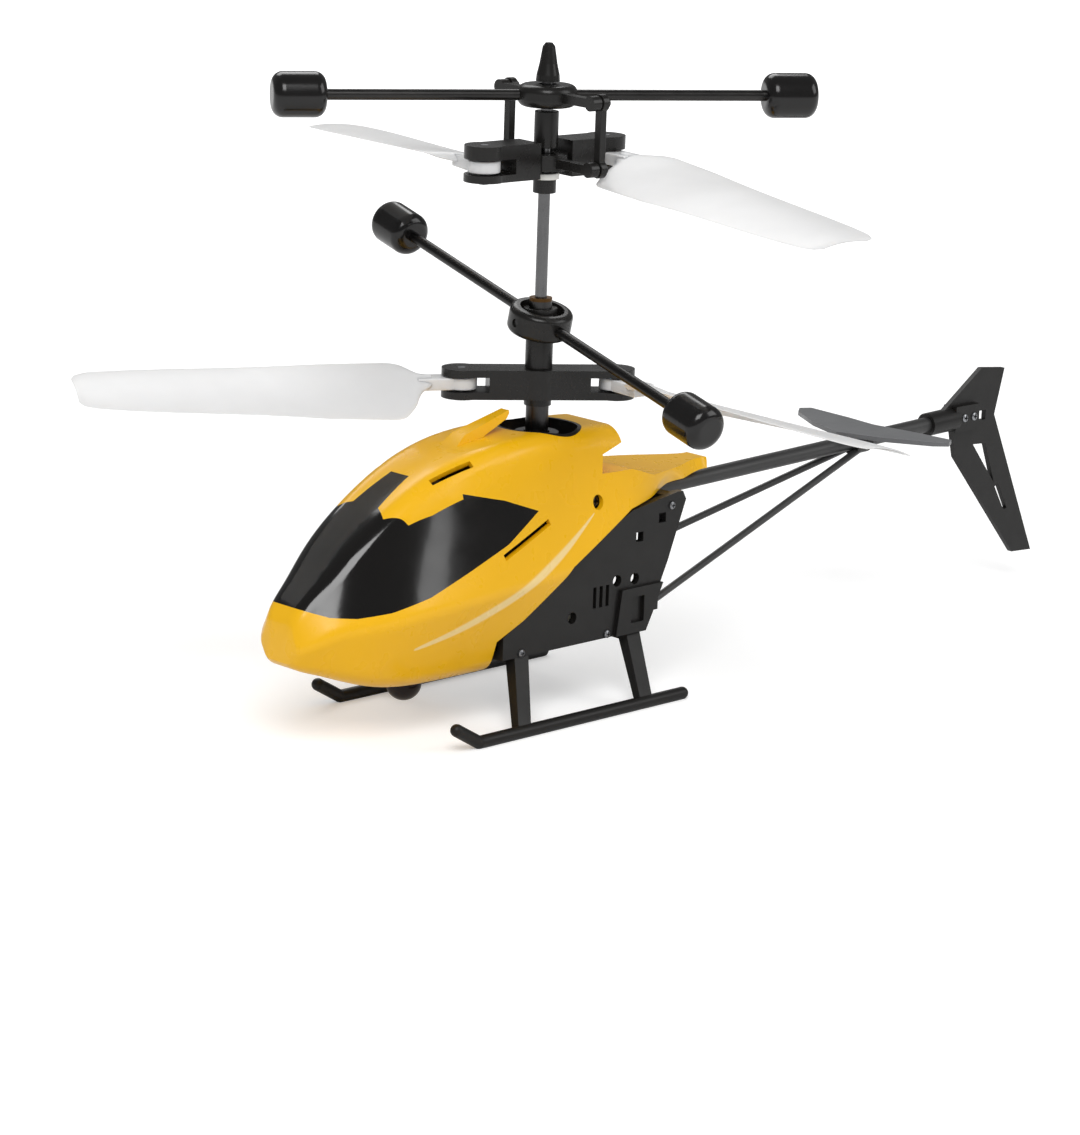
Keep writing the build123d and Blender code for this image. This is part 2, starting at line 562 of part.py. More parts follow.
def make_blade(root_pitch, tip_pitch, coning):
    """Blade with its pin on Z at the origin, pointing along +X, leading edge on +Y."""
    slope = math.tan(math.radians(coning))
    shoulder_pitch = 0.75 * root_pitch
    sections = [
        blade_section(NECK_END, 0.0, 2.5, -2.5, 0.0, TAB_T, 0.0, TAB_T / 2 - 0.1),
        blade_section(SHOULDER, 0.0, 7.0, -6.0, shoulder_pitch, 1.6 * BLADE_T, 0.3, 0.3),
    ]
    for part_way in (0.0, 0.25, 0.5, 0.75, 0.97):
        s = FULL_CHORD + (BLADE_LEN - FULL_CHORD) * part_way
        chord = BLADE_ROOT_CHORD + (BLADE_TIP_CHORD - BLADE_ROOT_CHORD) * part_way
        pitch = root_pitch + (tip_pitch - root_pitch) * part_way
        lead = LEAD_SHARE * chord
        camber = 0.7 - 0.3 * part_way
        rise = slope * (s - SHOULDER)
        sections.append(blade_section(s, rise, lead, lead - chord, pitch, BLADE_T, camber, 0.18))
    lead = (LEAD_SHARE - 0.13) * BLADE_TIP_CHORD
    trail = (LEAD_SHARE - 0.85) * BLADE_TIP_CHORD
    rise = slope * (BLADE_LEN - SHOULDER)
    sections.append(blade_section(BLADE_LEN, rise, lead, trail, tip_pitch, 0.8 * BLADE_T, 0.3, 0.18))
    tab = Cylinder(TAB_R, TAB_T) + box_between((0, -2.5, -TAB_T / 2), (NECK_END + 0.2, 2.5, TAB_T / 2))
    return tab + loft(sections, ruled=True) - Cylinder(GRIP_SCREW_R + RUN_GAP, 10.0)


lower_blade = mirror(make_blade(LOWER_ROOT_PITCH, LOWER_TIP_PITCH, LOWER_CONING), about=Plane.XZ)
upper_blades = [make_blade(UPPER_ROOT_PITCH, UPPER_TIP_PITCH, coning) for coning in UPPER_CONING]


def placed(shape, clip_az, pin_side, height, azimuth):
    """Blade on the grip pin on this side of the clip, pointing along azimuth."""
    pin = Vector(GRIP_PIN_AT * pin_side, 0, 0).rotate(Axis.Z, clip_az)
    return Pos(pin.X, pin.Y, height) * turn(azimuth) * shape


def grip_pair(height, web_from, gap, top_t, bottom_t, width=7.0):
    """Two forks on the X axis; each holds a blade root between two plates."""
    low, high = height - gap / 2 - bottom_t, height + gap / 2 + top_t
    grips = Part()
    for side in (1, -1):
        fork = Pos(side * GRIP_PIN_AT, 0, low) * Cylinder(GRIP_END_R, high - low, align=BASE)
        reach = sorted((side * web_from, side * GRIP_PIN_AT))
        fork += box_between((reach[0], -width / 2, low), (reach[1], width / 2, high))
        slot = sorted((side * 10.2, side * 30.0))
        fork -= box_between((slot[0], -10.0, height - gap / 2), (slot[1], 10.0, height + gap / 2))
        fork -= Pos(side * GRIP_PIN_AT, 0, height) * Cylinder(GRIP_SCREW_R, 30.0)
        grips += fork
    return grips, low, high


def grip_screws(low, high):
    return [
        Pos(side * GRIP_PIN_AT, 0, low) * Cylinder(GRIP_SCREW_R, high - low, align=BASE)
        + Pos(side * GRIP_PIN_AT, 0, low - 0.7) * Cylinder(1.5, 0.7, align=BASE)
        for side in (1, -1)
    ]


root_gap = TAB_T + 2 * PART_GAP
lower_grips, low, high = grip_pair(LOWER_CLIP_Z, 0.0, root_gap, 1.5, 1.5)
lower_clip = lower_grips + ring_z(4.2, 0, low, high) + ring_z(2.75, 0, low - 1.5, low)
lower_clip -= ring_z(TUBE_R, 0, 50, 80)
lower_turn = turn(LOWER_CLIP_AZ)
save(lower_turn * lower_clip, "lower_clip", 0x2A2A2C)
save(group([lower_turn * screw for screw in grip_screws(low, high)]), "lower_blade_screws", 0xB0B2B6)
for name, side, azimuth in (("right", 1, LOWER_BLADE_AZ[0]), ("left", -1, LOWER_BLADE_AZ[1])):
    save(placed(lower_blade, LOWER_CLIP_AZ, side, LOWER_CLIP_Z, azimuth), "lower_blade_" + name, 0xDADCDC)
seat_low, seat_high = LOWER_FLYBAR_Z - 2.6, LOWER_FLYBAR_Z + 2.6
clip_top = high

# --- flybars --------------------------------------------------------------------


def flybar_rods(start):
    return [rod_between((side * start, 0, 0), (side * (FLYBAR_ARM + 2.0), 0, 0), ROD_R) for side in (1, -1)]


def flybar_weights():
    weights = []
    for side in (1, -1):
        drum = Pos(side * FLYBAR_ARM, 0, 0) * Rot(0, 90, 0) * Cylinder(WEIGHT_R, WEIGHT_LEN)
        drum = fillet(drum.edges().filter_by(GeomType.CIRCLE), 2.2)
        weights.append(drum)
    return weights


weights = flybar_weights()
lower_seat = ring_z(3.4, TUBE_R, seat_low, seat_high) + ring_z(2.75, TUBE_R, clip_top, seat_low)
trunnion_az = LOWER_FLYBAR_AZ + 90.0
trunnions = turn(trunnion_az) * Pos(0, 0, LOWER_FLYBAR_Z) * Rot(0, 90, 0) * Cylinder(0.8, 12.0)
lower_seat += trunnions - ring_z(3.0, 0, 60, 90)
save(lower_seat, "lower_flybar_seat", 0x2A2A2C)
lower_hub = Cylinder(6.4, 5.4)
lower_hub = fillet(lower_hub.edges().filter_by(GeomType.CIRCLE), 1.2) - Cylinder(4.5, 10.0)
lower_hub -= Rot(90, 0, 0) * Cylinder(0.8 + RUN_GAP, 20.0)
lower_rods = flybar_rods(5.2)
lower_tilt = tilt(LOWER_FLYBAR_Z, trunnion_az, LOWER_FLYBAR_TILT)
lower_bar = lower_tilt * Pos(0, 0, LOWER_FLYBAR_Z) * turn(LOWER_FLYBAR_AZ)
for rod in lower_rods:
    lower_hub -= rod
    weights = [weight - rod for weight in weights]
save(lower_bar * lower_hub, "lower_flybar_hub", 0x2A2A2C)
save(group([lower_bar * rod for rod in lower_rods]), "lower_flybar_rods", 0x3A3A3C)
save(group([lower_bar * weight for weight in weights]), "lower_flybar_weights", 0x242426)


def link_arms(reach_from):
    """Side arms on the Y axis that carry the link pins."""
    arms = Part()
    for side in (1, -1):
        ends = sorted((side * reach_from, side * LINK_AT))
        arms += box_between((-1.0, ends[0], -0.9), (1.0, ends[1], 0.9))
        arms += Pos(0, side * LINK_AT, 0) * Rot(0, 90, 0) * Cylinder(1.5, 2.0)
        arms += Pos(1.0, side * LINK_AT, 0) * Rot(0, 90, 0) * Cylinder(LINK_PIN_R, 2.4, align=BASE)
        arms += Pos(3.1, side * LINK_AT, 0) * Rot(0, 90, 0) * Cylinder(1.0, 0.5, align=BASE)
    return arms


upper_turn = Pos(0, 0, FLYBAR_Z) * head
upper_hub = Cylinder(5.9, 4.4)
upper_hub = fillet(upper_hub.edges().filter_by(GeomType.CIRCLE), 1.5) + link_arms(4.0)
upper_hub -= Cylinder(1.8, 10.0) + Rot(0, 90, 0) * Cylinder(CROSS_PIN_R + RUN_GAP, 10.6)
rod_turn = turn(FLYBAR_AZ - UPPER_CLIP_AZ)
upper_rods = [rod_turn * rod for rod in flybar_rods(4.4)]
for rod in upper_rods:
    upper_hub -= rod
save(upper_turn * upper_hub, "upper_flybar_hub", 0x2A2A2C)
save(group([upper_turn * rod for rod in upper_rods]), "upper_flybar_rods", 0x3A3A3C)
save(group([upper_turn * rod_turn * weight for weight in weights]), "upper_flybar_weights", 0x242426)

# --- upper clip -----------------------------------------------------------------
upper_grips, low, high = grip_pair(UPPER_CLIP_Z, 4.0, root_gap, 2.7, 1.5)
upper_clip = upper_grips + Pos(0, 0, UPPER_CLIP_Z) * (Cylinder(4.5, 3.2) + link_arms(4.0))
upper_clip -= ring_z(1.8, 0, 90, 130)
upper_clip -= Pos(0, 0, UPPER_CLIP_Z) * Rot(0, 90, 0) * Cylinder(CROSS_PIN_R + RUN_GAP, 9.4)
save(head * upper_clip, "upper_clip", 0x2A2A2C)
save(group([head * screw for screw in grip_screws(low, high)]), "upper_blade_screws", 0xB0B2B6)
for name, side, blade, azimuth in zip(("right", "left"), (1, -1), upper_blades, UPPER_BLADE_AZ):
    save(placed(blade, UPPER_CLIP_AZ, side, UPPER_CLIP_Z, azimuth), "upper_blade_" + name, 0xDADCDC)
head_pins = [
    head * Pos(0, 0, z) * Rot(0, 90, 0) * Cylinder(CROSS_PIN_R, 2 * half)
    for z, half in ((UPPER_CLIP_Z, 4.4), (FLYBAR_Z, 5.0))
]
save(group(head_pins), "head_pins", 0xB9BBC0)

link_span = FLYBAR_Z - UPPER_CLIP_Z
link = box_between((1.3, -0.9, -link_span), (2.8, 0.9, 0.0))
for z in (0.0, -link_span):
    link += Pos(2.05, 0, z) * Rot(0, 90, 0) * Cylinder(1.75, 1.5)
    link -= Pos(0, 0, z) * Rot(0, 90, 0) * Cylinder(LINK_PIN_R + RUN_GAP, 10.0)
for name, side in (("left", 1), ("right", -1)):
    save(head * Pos(0, side * LINK_AT, FLYBAR_Z) * link, "head_link_" + name, 0x2A2A2C)

save(ring_z(2.9, SHAFT_R, UPPER_CLIP_Z - 3.5, UPPER_CLIP_Z - 2.3), "head_washer", 0xE4E4E2)
head_spacers = [
    ring_z(2.3, SHAFT_R, UPPER_CLIP_Z - 6.3, UPPER_CLIP_Z - 3.5),
    ring_z(2.4, SHAFT_R, UPPER_CLIP_Z + 2.7, FLYBAR_Z - 3.1),
]
save(group(head_spacers), "head_spacers", 0x2A2A2C)
cap_low = FLYBAR_Z + 2.8
CAP = ((0, 0), (2.4, 0), (2.3, 1.2), (1.8, 3.4), (1.45, 5.6), (1.25, 6.8), (0.7, 7.5), (0, 7.6))
cap = revolve(Plane.XZ * make_face(Polyline(*CAP, close=True)), Axis.Z)
cap = Pos(0, 0, cap_low) * cap - ring_z(SHAFT_R, 0, 100, SHAFT_Z[1])
save(cap, "mast_cap", 0x242426)
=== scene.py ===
"""Coaxial toy helicopter: the finishes, moulded detail, light and camera around its fixed frame.

Everything is in metres in the frame's own axes: +Z up, nose towards -Y, the helicopter's left side +X.
"""

import json
import logging
import math
from dataclasses import dataclass, field
from enum import Enum

import bmesh
import bpy
from mathutils import Matrix, Vector

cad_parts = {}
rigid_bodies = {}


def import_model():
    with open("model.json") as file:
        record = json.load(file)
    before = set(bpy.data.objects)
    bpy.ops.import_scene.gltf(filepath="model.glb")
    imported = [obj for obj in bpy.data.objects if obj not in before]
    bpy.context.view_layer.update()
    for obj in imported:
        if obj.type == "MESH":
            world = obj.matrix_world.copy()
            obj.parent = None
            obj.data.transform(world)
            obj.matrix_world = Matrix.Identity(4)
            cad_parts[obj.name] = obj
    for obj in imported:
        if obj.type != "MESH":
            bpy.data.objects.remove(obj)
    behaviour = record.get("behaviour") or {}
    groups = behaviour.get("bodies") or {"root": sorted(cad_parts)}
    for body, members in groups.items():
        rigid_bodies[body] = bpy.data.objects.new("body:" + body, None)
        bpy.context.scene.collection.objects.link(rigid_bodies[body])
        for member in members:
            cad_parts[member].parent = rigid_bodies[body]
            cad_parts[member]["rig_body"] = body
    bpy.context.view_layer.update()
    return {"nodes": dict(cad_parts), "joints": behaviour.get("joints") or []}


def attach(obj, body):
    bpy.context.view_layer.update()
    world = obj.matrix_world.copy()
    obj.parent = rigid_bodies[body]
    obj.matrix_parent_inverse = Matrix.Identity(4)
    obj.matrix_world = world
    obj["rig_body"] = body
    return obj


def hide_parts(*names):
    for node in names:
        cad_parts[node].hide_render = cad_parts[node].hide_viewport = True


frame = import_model()

MM = 0.001
MERGE = 2e-6              # points of a mesh this near, in metres, are one
CREASE = math.radians(32.0)
FLAT_DEG = 0.3            # faces that turn by less than this are one flat face
EDGE_STEPS = 2            # faces across a rounded edge
WHITE = (1.0, 1.0, 1.0, 1.0)
UNIT = (0.0, 1.0)

Socket = bpy.types.NodeSocket
Node = bpy.types.Node
Tree = bpy.types.NodeTree
Mesh = bpy.types.Mesh
Piece = bpy.types.Object
Triple = tuple[float, float, float]
Points = tuple[tuple[float, float], ...]

logging.basicConfig(level=logging.INFO, format="%(name)s: %(message)s")
log = logging.getLogger("helicopter")


# --- shared helpers -------------------------------------------------------------


def linear(colour: str) -> tuple[float, float, float, float]:
    """Turns an sRGB hex colour into the linear value that a socket takes.

    Args:
        colour: six hex digits, such as "EAB925".

    Returns:
        Linear red, green and blue, and an alpha of 1.
    """
    values = [int(colour[at : at + 2], 16) / 255 for at in (0, 2, 4)]
    red, green, blue = (v / 12.92 if v <= 0.04045 else ((v + 0.055) / 1.055) ** 2.4 for v in values)
    return red, green, blue, 1.0


def add(tree: Tree, kind: str, settings: dict | None = None, inputs: dict | None = None) -> Node:
    """Adds one node with its settings, input values and links.

    Args:
        tree: the node tree that takes the node.
        kind: the node's type name.
        settings: properties of the node itself.
        inputs: socket name or number to a value, or to the socket that feeds it.

    Returns:
        The new node.
    """
    node = tree.nodes.new(kind)
    for name, value in (settings or {}).items():
        setattr(node, name, value)
    for name, value in (inputs or {}).items():
        if isinstance(value, Socket):
            tree.links.new(value, node.inputs[name])
        else:
            node.inputs[name].default_value = value
    return node


def remap(tree: Tree, value: Socket, source: tuple, target: tuple, interpolation: str = "LINEAR") -> Socket:
    """Maps a value from one range to another, and holds it at the ends.

    Args:
        tree: the node tree.
        value: what is mapped.
        source: the value's lowest and highest, as numbers or sockets.
        target: what they become, as numbers or sockets.
        interpolation: how it runs between them.

    Returns:
        The mapped value.
    """
    mapped = add(
        tree,
        "ShaderNodeMapRange",
        {"interpolation_type": interpolation},
        {
            "Value": value,
            "From Min": source[0],
            "From Max": source[1],
            "To Min": target[0],
            "To Max": target[1],
        },
    )
    return mapped.outputs["Result"]


def reckon(tree: Tree, operation: str, *values: "Socket | float") -> Socket:
    """Result of a math operation on up to three values."""
    return add(tree, "ShaderNodeMath", {"operation": operation}, dict(enumerate(values))).outputs[0]


def follow(tree: Tree, place: Socket, points: Points) -> Socket:
    """Height of a drawn curve at a place from 0 to 1. Its first point is at 0 and its last at 1."""
    node = add(tree, "ShaderNodeFloatCurve", inputs={"Value": place})
    curve = node.mapping.curves[0]
    for x, y in points[1:-1]:
        curve.points.new(x, y)
    curve.points[0].location = points[0]
    curve.points[-1].location = points[-1]
    node.mapping.update()
    return node.outputs[0]


def body_of(node: str) -> str:
    """Name of the body that a CAD node rides on."""
    return frame["nodes"][node]["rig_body"]


def smooth(mesh: Mesh) -> Mesh:
    """Shades a mesh smooth, with its edges sharp where its faces turn by more than CREASE."""
    for polygon in mesh.polygons:
        polygon.use_smooth = True
    mesh.set_sharp_from_angle(angle=CREASE)
    return mesh


def baked(piece: Piece) -> Mesh:
    """A plain mesh of a piece as its modifiers leave it. The piece itself is removed."""
    bpy.context.view_layer.update()
    graph = bpy.context.evaluated_depsgraph_get()
    mesh = bpy.data.meshes.new_from_object(piece.evaluated_get(graph), depsgraph=graph)
    bpy.data.objects.remove(piece)
    return mesh


def put(mesh: Mesh, node: str, finish: "Finish") -> None:
    """Makes the finished piece that replaces a CAD node.

    Args:
        mesh: the shape, in the frame's axes.
        node: the CAD node, which gives its body.
        finish: its material.
    """
    piece = bpy.data.objects.new(node + "_piece", mesh)
    bpy.context.scene.collection.objects.link(piece)
    mesh.materials.clear()
    mesh.materials.append(finish.material())
    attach(piece, body_of(node))
    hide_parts(node)
    log.info("%s rides on %s", piece.name, body_of(node))


def keep(node: str, finish: "Finish") -> None:
    """Gives a CAD node that stays as it is its finish."""
    piece = frame["nodes"][node]
    piece.data.materials.clear()
    piece.data.materials.append(finish.material())
    log.info("%s keeps its CAD shape", node)


def welded(node: str, flat_deg: float = FLAT_DEG) -> Mesh:
    """Copy of a CAD node's mesh with its triangles joined, and its flat faces made whole.

    Args:
        node: the CAD node.
        flat_deg: faces that turn by less than this become one; 0 leaves the triangles.

    Returns:
        The new mesh.
    """
    mesh = frame["nodes"][node].data.copy()
    if "custom_normal" in mesh.attributes:
        mesh.attributes.remove(mesh.attributes["custom_normal"])
    shape = bmesh.new()
    shape.from_mesh(mesh)
    bmesh.ops.remove_doubles(shape, verts=shape.verts, dist=MERGE)
    if flat_deg:
        turn = math.radians(flat_deg)
        bmesh.ops.dissolve_limit(shape, angle_limit=turn, verts=shape.verts, edges=shape.edges)
    shape.to_mesh(mesh)
    shape.free()
    return smooth(mesh)


def rounded(node: str, finish: "Finish", edge_mm: float) -> None:
    """Replaces a CAD node with the same shape whose edges are broken, as a mould or a file leaves them.

    Args:
        node: the CAD node.
        finish: its material.
        edge_mm: width of the rounding.
    """
    blank = bpy.data.objects.new(node + "_blank", welded(node))
    bpy.context.scene.collection.objects.link(blank)
    bevel = blank.modifiers.new("broken edges", "BEVEL")
    bevel.width = edge_mm * MM
    bevel.segments = EDGE_STEPS
    bevel.limit_method = "ANGLE"
    bevel.angle_limit = CREASE
    bevel.harden_normals = True
    put(baked(blank), node, finish)


# --- finishes -------------------------------------------------------------------


class Grain(Enum):
    """How a surface was made. The value is its cell size in mm along, across and up."""

    POLISHED = (2.4, 2.4, 2.4)
    ERODED = (0.45, 0.45, 0.45)
    DRAWN = (9.0, 0.30, 0.30)
    DRAWN_UP = (0.30, 0.30, 9.0)
    RAW = (0.8, 0.8, 0.8)


# Octaves of finer noise in the tone's patches, in the grain and in the wear.
TONE_OCTAVES = 3.0
GRAIN_OCTAVES = 2.0
WEAR_OCTAVES = 2.0
# Wear changes the roughness in patches of this size, between these two heights of its noise.
WEAR_MM = (4.0, 4.0, 4.0)
WEAR_SPREAD = (0.15, 0.85)
COAT_ROUGHNESS = 0.06
# A milky plastic: the share of light that enters it, and how deep red, green and blue go.
GLOW_SHARE = 0.6
GLOW_TINT = (1.0, 0.95, 0.9)


@dataclass(frozen=True)
class Finish:
    """A moulded or machined finish.

    Attributes:
        name: common name of the material and how it was made.
        colour: its sRGB hex colour.
        tone: second sRGB hex colour that it drifts towards in patches.
        grain: how the surface was made.
        relief_mm: depth of that grain.
        roughness: lowest and highest roughness.
        metallic: 1 for a metal.
        ior: index of refraction of a plastic.
        coat: strength of a clear gloss over it.
        mirror: strength of a plastic's own reflection, 0.5 for a polished face.
        glow_mm: depth to which light enters a milky plastic.
        turn_deg: heading of a drawn grain.
        patch_mm: size of the tone's patches.
    """

    name: str
    colour: str
    tone: str
    grain: Grain = Grain.ERODED
    relief_mm: float = 0.01
    roughness: tuple[float, float] = (0.35, 0.5)
    metallic: float = 0.0
    ior: float = 1.5
    coat: float = 0.0
    mirror: float = 0.5
    glow_mm: float = 0.0
    turn_deg: float = 0.0
    patch_mm: float = 9.0

    def material(self) -> bpy.types.Material:
        """The material, made once."""
        known = bpy.data.materials.get(self.name)
        if known:
            return known
        material = bpy.data.materials.new(self.name)
        material.use_nodes = True
        tree = material.node_tree
        tree.nodes.clear()
        place = add(tree, "ShaderNodeTexCoord").outputs["Object"]
        shader = self.shader(tree, place)
        add(tree, "ShaderNodeOutputMaterial", inputs={"Surface": shader})
        return material

    def cells(self, tree: Tree, place: Socket, size_mm: Triple, octaves: float) -> Socket:
        """Noise whose cells have this size in mm.

        Args:
            tree: the material's tree.
            place: the place on the piece.
            size_mm: cell size along, across and up.
            octaves: how often finer noise is laid over it.

        Returns:
            The noise, from 0 to 1.
        """
        scaled = add(
            tree,
            "ShaderNodeMapping",
            {"vector_type": "TEXTURE"},
            {
                "Vector": place,
                "Rotation": (0.0, 0.0, math.radians(self.turn_deg)),
                "Scale": [size * MM for size in size_mm],
            },
        )
        noise = add(
            tree,
            "ShaderNodeTexNoise",
            inputs={"Vector": scaled.outputs[0], "Scale": 1.0, "Detail": octaves},
        )
        return noise.outputs["Fac"]

    def tint(self, tree: Tree, place: Socket) -> Socket:
        """The colour over the surface: the first colour with patches of the second."""
        patch = self.cells(tree, place, (self.patch_mm,) * 3, TONE_OCTAVES)
        blend = add(
            tree,
            "ShaderNodeMix",
            {"data_type": "RGBA"},
            {"Factor": patch, "A": linear(self.colour), "B": linear(self.tone)},
        )
        return blend.outputs["Result"]

    def relief(self, tree: Tree, place: Socket) -> Socket:
        """The bumped normal that the grain gives."""
        height = self.cells(tree, place, self.grain.value, GRAIN_OCTAVES)
        bump = add(tree, "ShaderNodeBump", inputs={"Height": height, "Distance": self.relief_mm * MM})
        return bump.outputs["Normal"]

    def gloss(self, tree: Tree, place: Socket) -> Socket:
        """The roughness over the surface, worn in patches."""
        worn = self.cells(tree, place, WEAR_MM, WEAR_OCTAVES)
        return remap(tree, worn, WEAR_SPREAD, self.roughness)

    def shader(self, tree: Tree, place: Socket) -> Socket:
        """The whole surface shader."""
        inputs = {
            "Base Color": self.tint(tree, place),
            "Roughness": self.gloss(tree, place),
            "Normal": self.relief(tree, place),
            "Metallic": self.metallic,
            "Coat Weight": self.coat,
            "Coat Roughness": COAT_ROUGHNESS,
        }
        if not self.metallic:
            inputs["IOR"] = self.ior
            inputs["Specular IOR Level"] = self.mirror
        if self.glow_mm:
            inputs["Subsurface Weight"] = GLOW_SHARE
            inputs["Subsurface Scale"] = self.glow_mm * MM
            inputs["Subsurface Radius"] = GLOW_TINT
        return add(tree, "ShaderNodeBsdfPrincipled", inputs=inputs).outputs["BSDF"]


@dataclass(frozen=True)
class StripedShell(Finish):
    """Gloss ABS with a soft pale flash printed along each flank.

    Attributes:
        stripe: the flash's sRGB hex colour.
        stripe_mm: where it starts and ends along the shell.
        foot_mm: height at which it starts.
        climb_mm: how far it rises.
        half_mm: half its greatest width.
        core: share of that width that is fully printed.
        cover: how far the print hides the shell's colour.
        path: how it rises along its length.
        taper: its width along its length.
    """

    stripe: str = "F3DDA6"
    stripe_mm: tuple[float, float] = (-44.0, 4.0)
    foot_mm: float = 20.0
    climb_mm: float = 20.5
    half_mm: float = 1.3
    core: float = 0.45
    cover: float = 0.75
    path: Points = ((0.0, 0.0), (0.35, 0.22), (0.7, 0.58), (1.0, 1.0))
    taper: Points = ((0.0, 0.0), (0.1, 0.55), (0.55, 1.0), (0.95, 0.35), (1.0, 0.0))

    def tint(self, tree: Tree, place: Socket) -> Socket:
        """The shell's colour, with the pale flash over it."""
        base = super().tint(tree, place)
        axes = add(tree, "ShaderNodeSeparateXYZ", inputs={"Vector": place}).outputs
        along = remap(tree, axes["Y"], tuple(end * MM for end in self.stripe_mm), UNIT)
        line = follow(tree, along, self.path)
        centre = reckon(tree, "MULTIPLY_ADD", line, self.climb_mm * MM, self.foot_mm * MM)
        away = reckon(tree, "ABSOLUTE", reckon(tree, "SUBTRACT", axes["Z"], centre))
        edge = reckon(tree, "MULTIPLY", follow(tree, along, self.taper), self.half_mm * MM)
        inner = reckon(tree, "MULTIPLY", edge, self.core)
        printed = remap(tree, away, (edge, inner), (0.0, self.cover), "SMOOTHSTEP")
        blend = add(
            tree,
            "ShaderNodeMix",
            {"data_type": "RGBA"},
            {"Factor": printed, "A": base, "B": linear(self.stripe)},
        )
        return blend.outputs["Result"]


# High-gloss ABS from a polished mould: saturated, with a slight orange peel.
SHELL_ABS = StripedShell(
    "Gloss_yellow_ABS", "F2B90B", "EFB409", Grain.POLISHED, 0.001, (0.26, 0.30), ior=1.5, coat=0.1,
    mirror=0.4, patch_mm=26.0,
)
# Tinted polystyrene window, clear-coated: near black with sharp reflections.
SMOKED_WINDOW = Finish(
    "Smoked_polystyrene", "0E0C0B", "090807", Grain.POLISHED, 0.003, (0.10, 0.16), ior=1.55, coat=0.3
)
# Glass-filled nylon from a spark-eroded mould: fine grain and a satin sheen.
FRAME_NYLON = Finish(
    "Satin_black_nylon", "151413", "1D1C1B", Grain.ERODED, 0.012, (0.34, 0.48), ior=1.53, mirror=0.32
)
# Acetal rotor-head mouldings: slicker, with polished faces.
HEAD_ACETAL = Finish(
    "Black_acetal", "171615", "1F1E1D", Grain.POLISHED, 0.006, (0.22, 0.34), ior=1.48, mirror=0.4
)
# Soft polypropylene blades: milky, with a fine matt grain.
BLADE_PP = Finish(
    "White_polypropylene", "D4D4D4", "DCDCDC", Grain.ERODED, 0.004, (0.34, 0.46), ior=1.49, glow_mm=0.8
)
GEAR_NYLON = Finish(
    "Natural_nylon", "E6E2D4", "DDD8C8", Grain.ERODED, 0.006, (0.35, 0.5), ior=1.53, glow_mm=0.5
)
WASHER_NYLON = Finish("White_nylon_washer", "E6E5E1", "DEDDD8", Grain.ERODED, 0.004, (0.35, 0.45), ior=1.53)
# Flybar weights: gloss ABS over an iron slug.
WEIGHT_ABS = Finish(
    "Gloss_black_ABS", "121111", "161515", Grain.POLISHED, 0.004, (0.16, 0.24), ior=1.52, coat=0.15,
    mirror=0.4,
)
# Pultruded boom tube and struts.
BOOM_TUBE = Finish(
    "Black_fibre_tube", "292929", "343434", Grain.DRAWN, 0.008, (0.36, 0.5), ior=1.55, turn_deg=90.0
)
STABILISER_ABS = Finish("Grey_ABS", "5F6062", "6A6B6D", Grain.ERODED, 0.006, (0.25, 0.4), ior=1.54)
# Blackened spring wire, drawn lengthwise.
FLYBAR_WIRE = Finish(
    "Blackened_wire", "3A3939", "4A4948", Grain.DRAWN, 0.006, (0.28, 0.42), metallic=1.0, turn_deg=58.6
)
SHAFT_STEEL = Finish(
    "Blued_steel_shaft", "6B6B6C", "7C7C7D", Grain.DRAWN_UP, 0.004, (0.2, 0.32), metallic=1.0
)
TUBE_STEEL = Finish("Dark_drawn_tube", "454444", "525151", Grain.DRAWN_UP, 0.006, (0.25, 0.38), metallic=1.0)
PIN_STEEL = Finish("Ground_steel_pin", "B4B5B8", "A3A4A7", Grain.DRAWN, 0.003, (0.2, 0.3), metallic=1.0)
SCREW_ZINC = Finish("Zinc_plated_steel", "A9ABAE", "8E8F93", Grain.RAW, 0.005, (0.25, 0.42), metallic=1.0)
DARK_SCREW = Finish("Black_oxide_steel", "45403C", "57504A", Grain.RAW, 0.006, (0.3, 0.45), metallic=1.0)
BUSH_BRONZE = Finish("Oiled_sintered_bronze", "6E5130", "553D22", Grain.RAW, 0.010, (0.35, 0.5), metallic=1.0)
PINION_BRASS = Finish("Cut_brass", "C9A24E", "B98F3C", Grain.DRAWN_UP, 0.006, (0.22, 0.34), metallic=1.0)
MOTOR_NICKEL = Finish(
    "Nickel_plated_can", "A7A9AC", "96989B", Grain.DRAWN_UP, 0.004, (0.22, 0.34), metallic=1.0
)
POUCH_FOIL = Finish(
    "Laminate_pouch_foil", "A8ABAE", "8F9295", Grain.POLISHED, 0.12, (0.28, 0.42), metallic=1.0
)
BOARD_MASK = Finish(
    "Green_solder_mask", "1C5E35", "2A7A48", Grain.ERODED, 0.01, (0.25, 0.4), ior=1.55, coat=0.2, patch_mm=1.6
)
CHIP_EPOXY = Finish("Chip_epoxy", "26262A", "303035", Grain.ERODED, 0.02, (0.5, 0.65), ior=1.55)
SWITCH_STEEL = Finish("Folded_tinplate", "A2A4A7", "8D8F92", Grain.DRAWN, 0.004, (0.28, 0.4), metallic=1.0)
KNOB_PLASTIC = Finish("Black_switch_knob", "1C1C1E", "262628", Grain.ERODED, 0.02, (0.4, 0.55), ior=1.5)
SOCKET_PBT = Finish("White_connector_shell", "E2E1DC", "D8D6CF", Grain.ERODED, 0.006, (0.35, 0.5), ior=1.55)
SENSOR_LENS = Finish(
    "Dark_infrared_lens", "120C0E", "1A1013", Grain.POLISHED, 0.003, (0.16, 0.24), ior=1.52, mirror=0.3
)


# --- repeated and ruled shapes ---------------------------------------------------


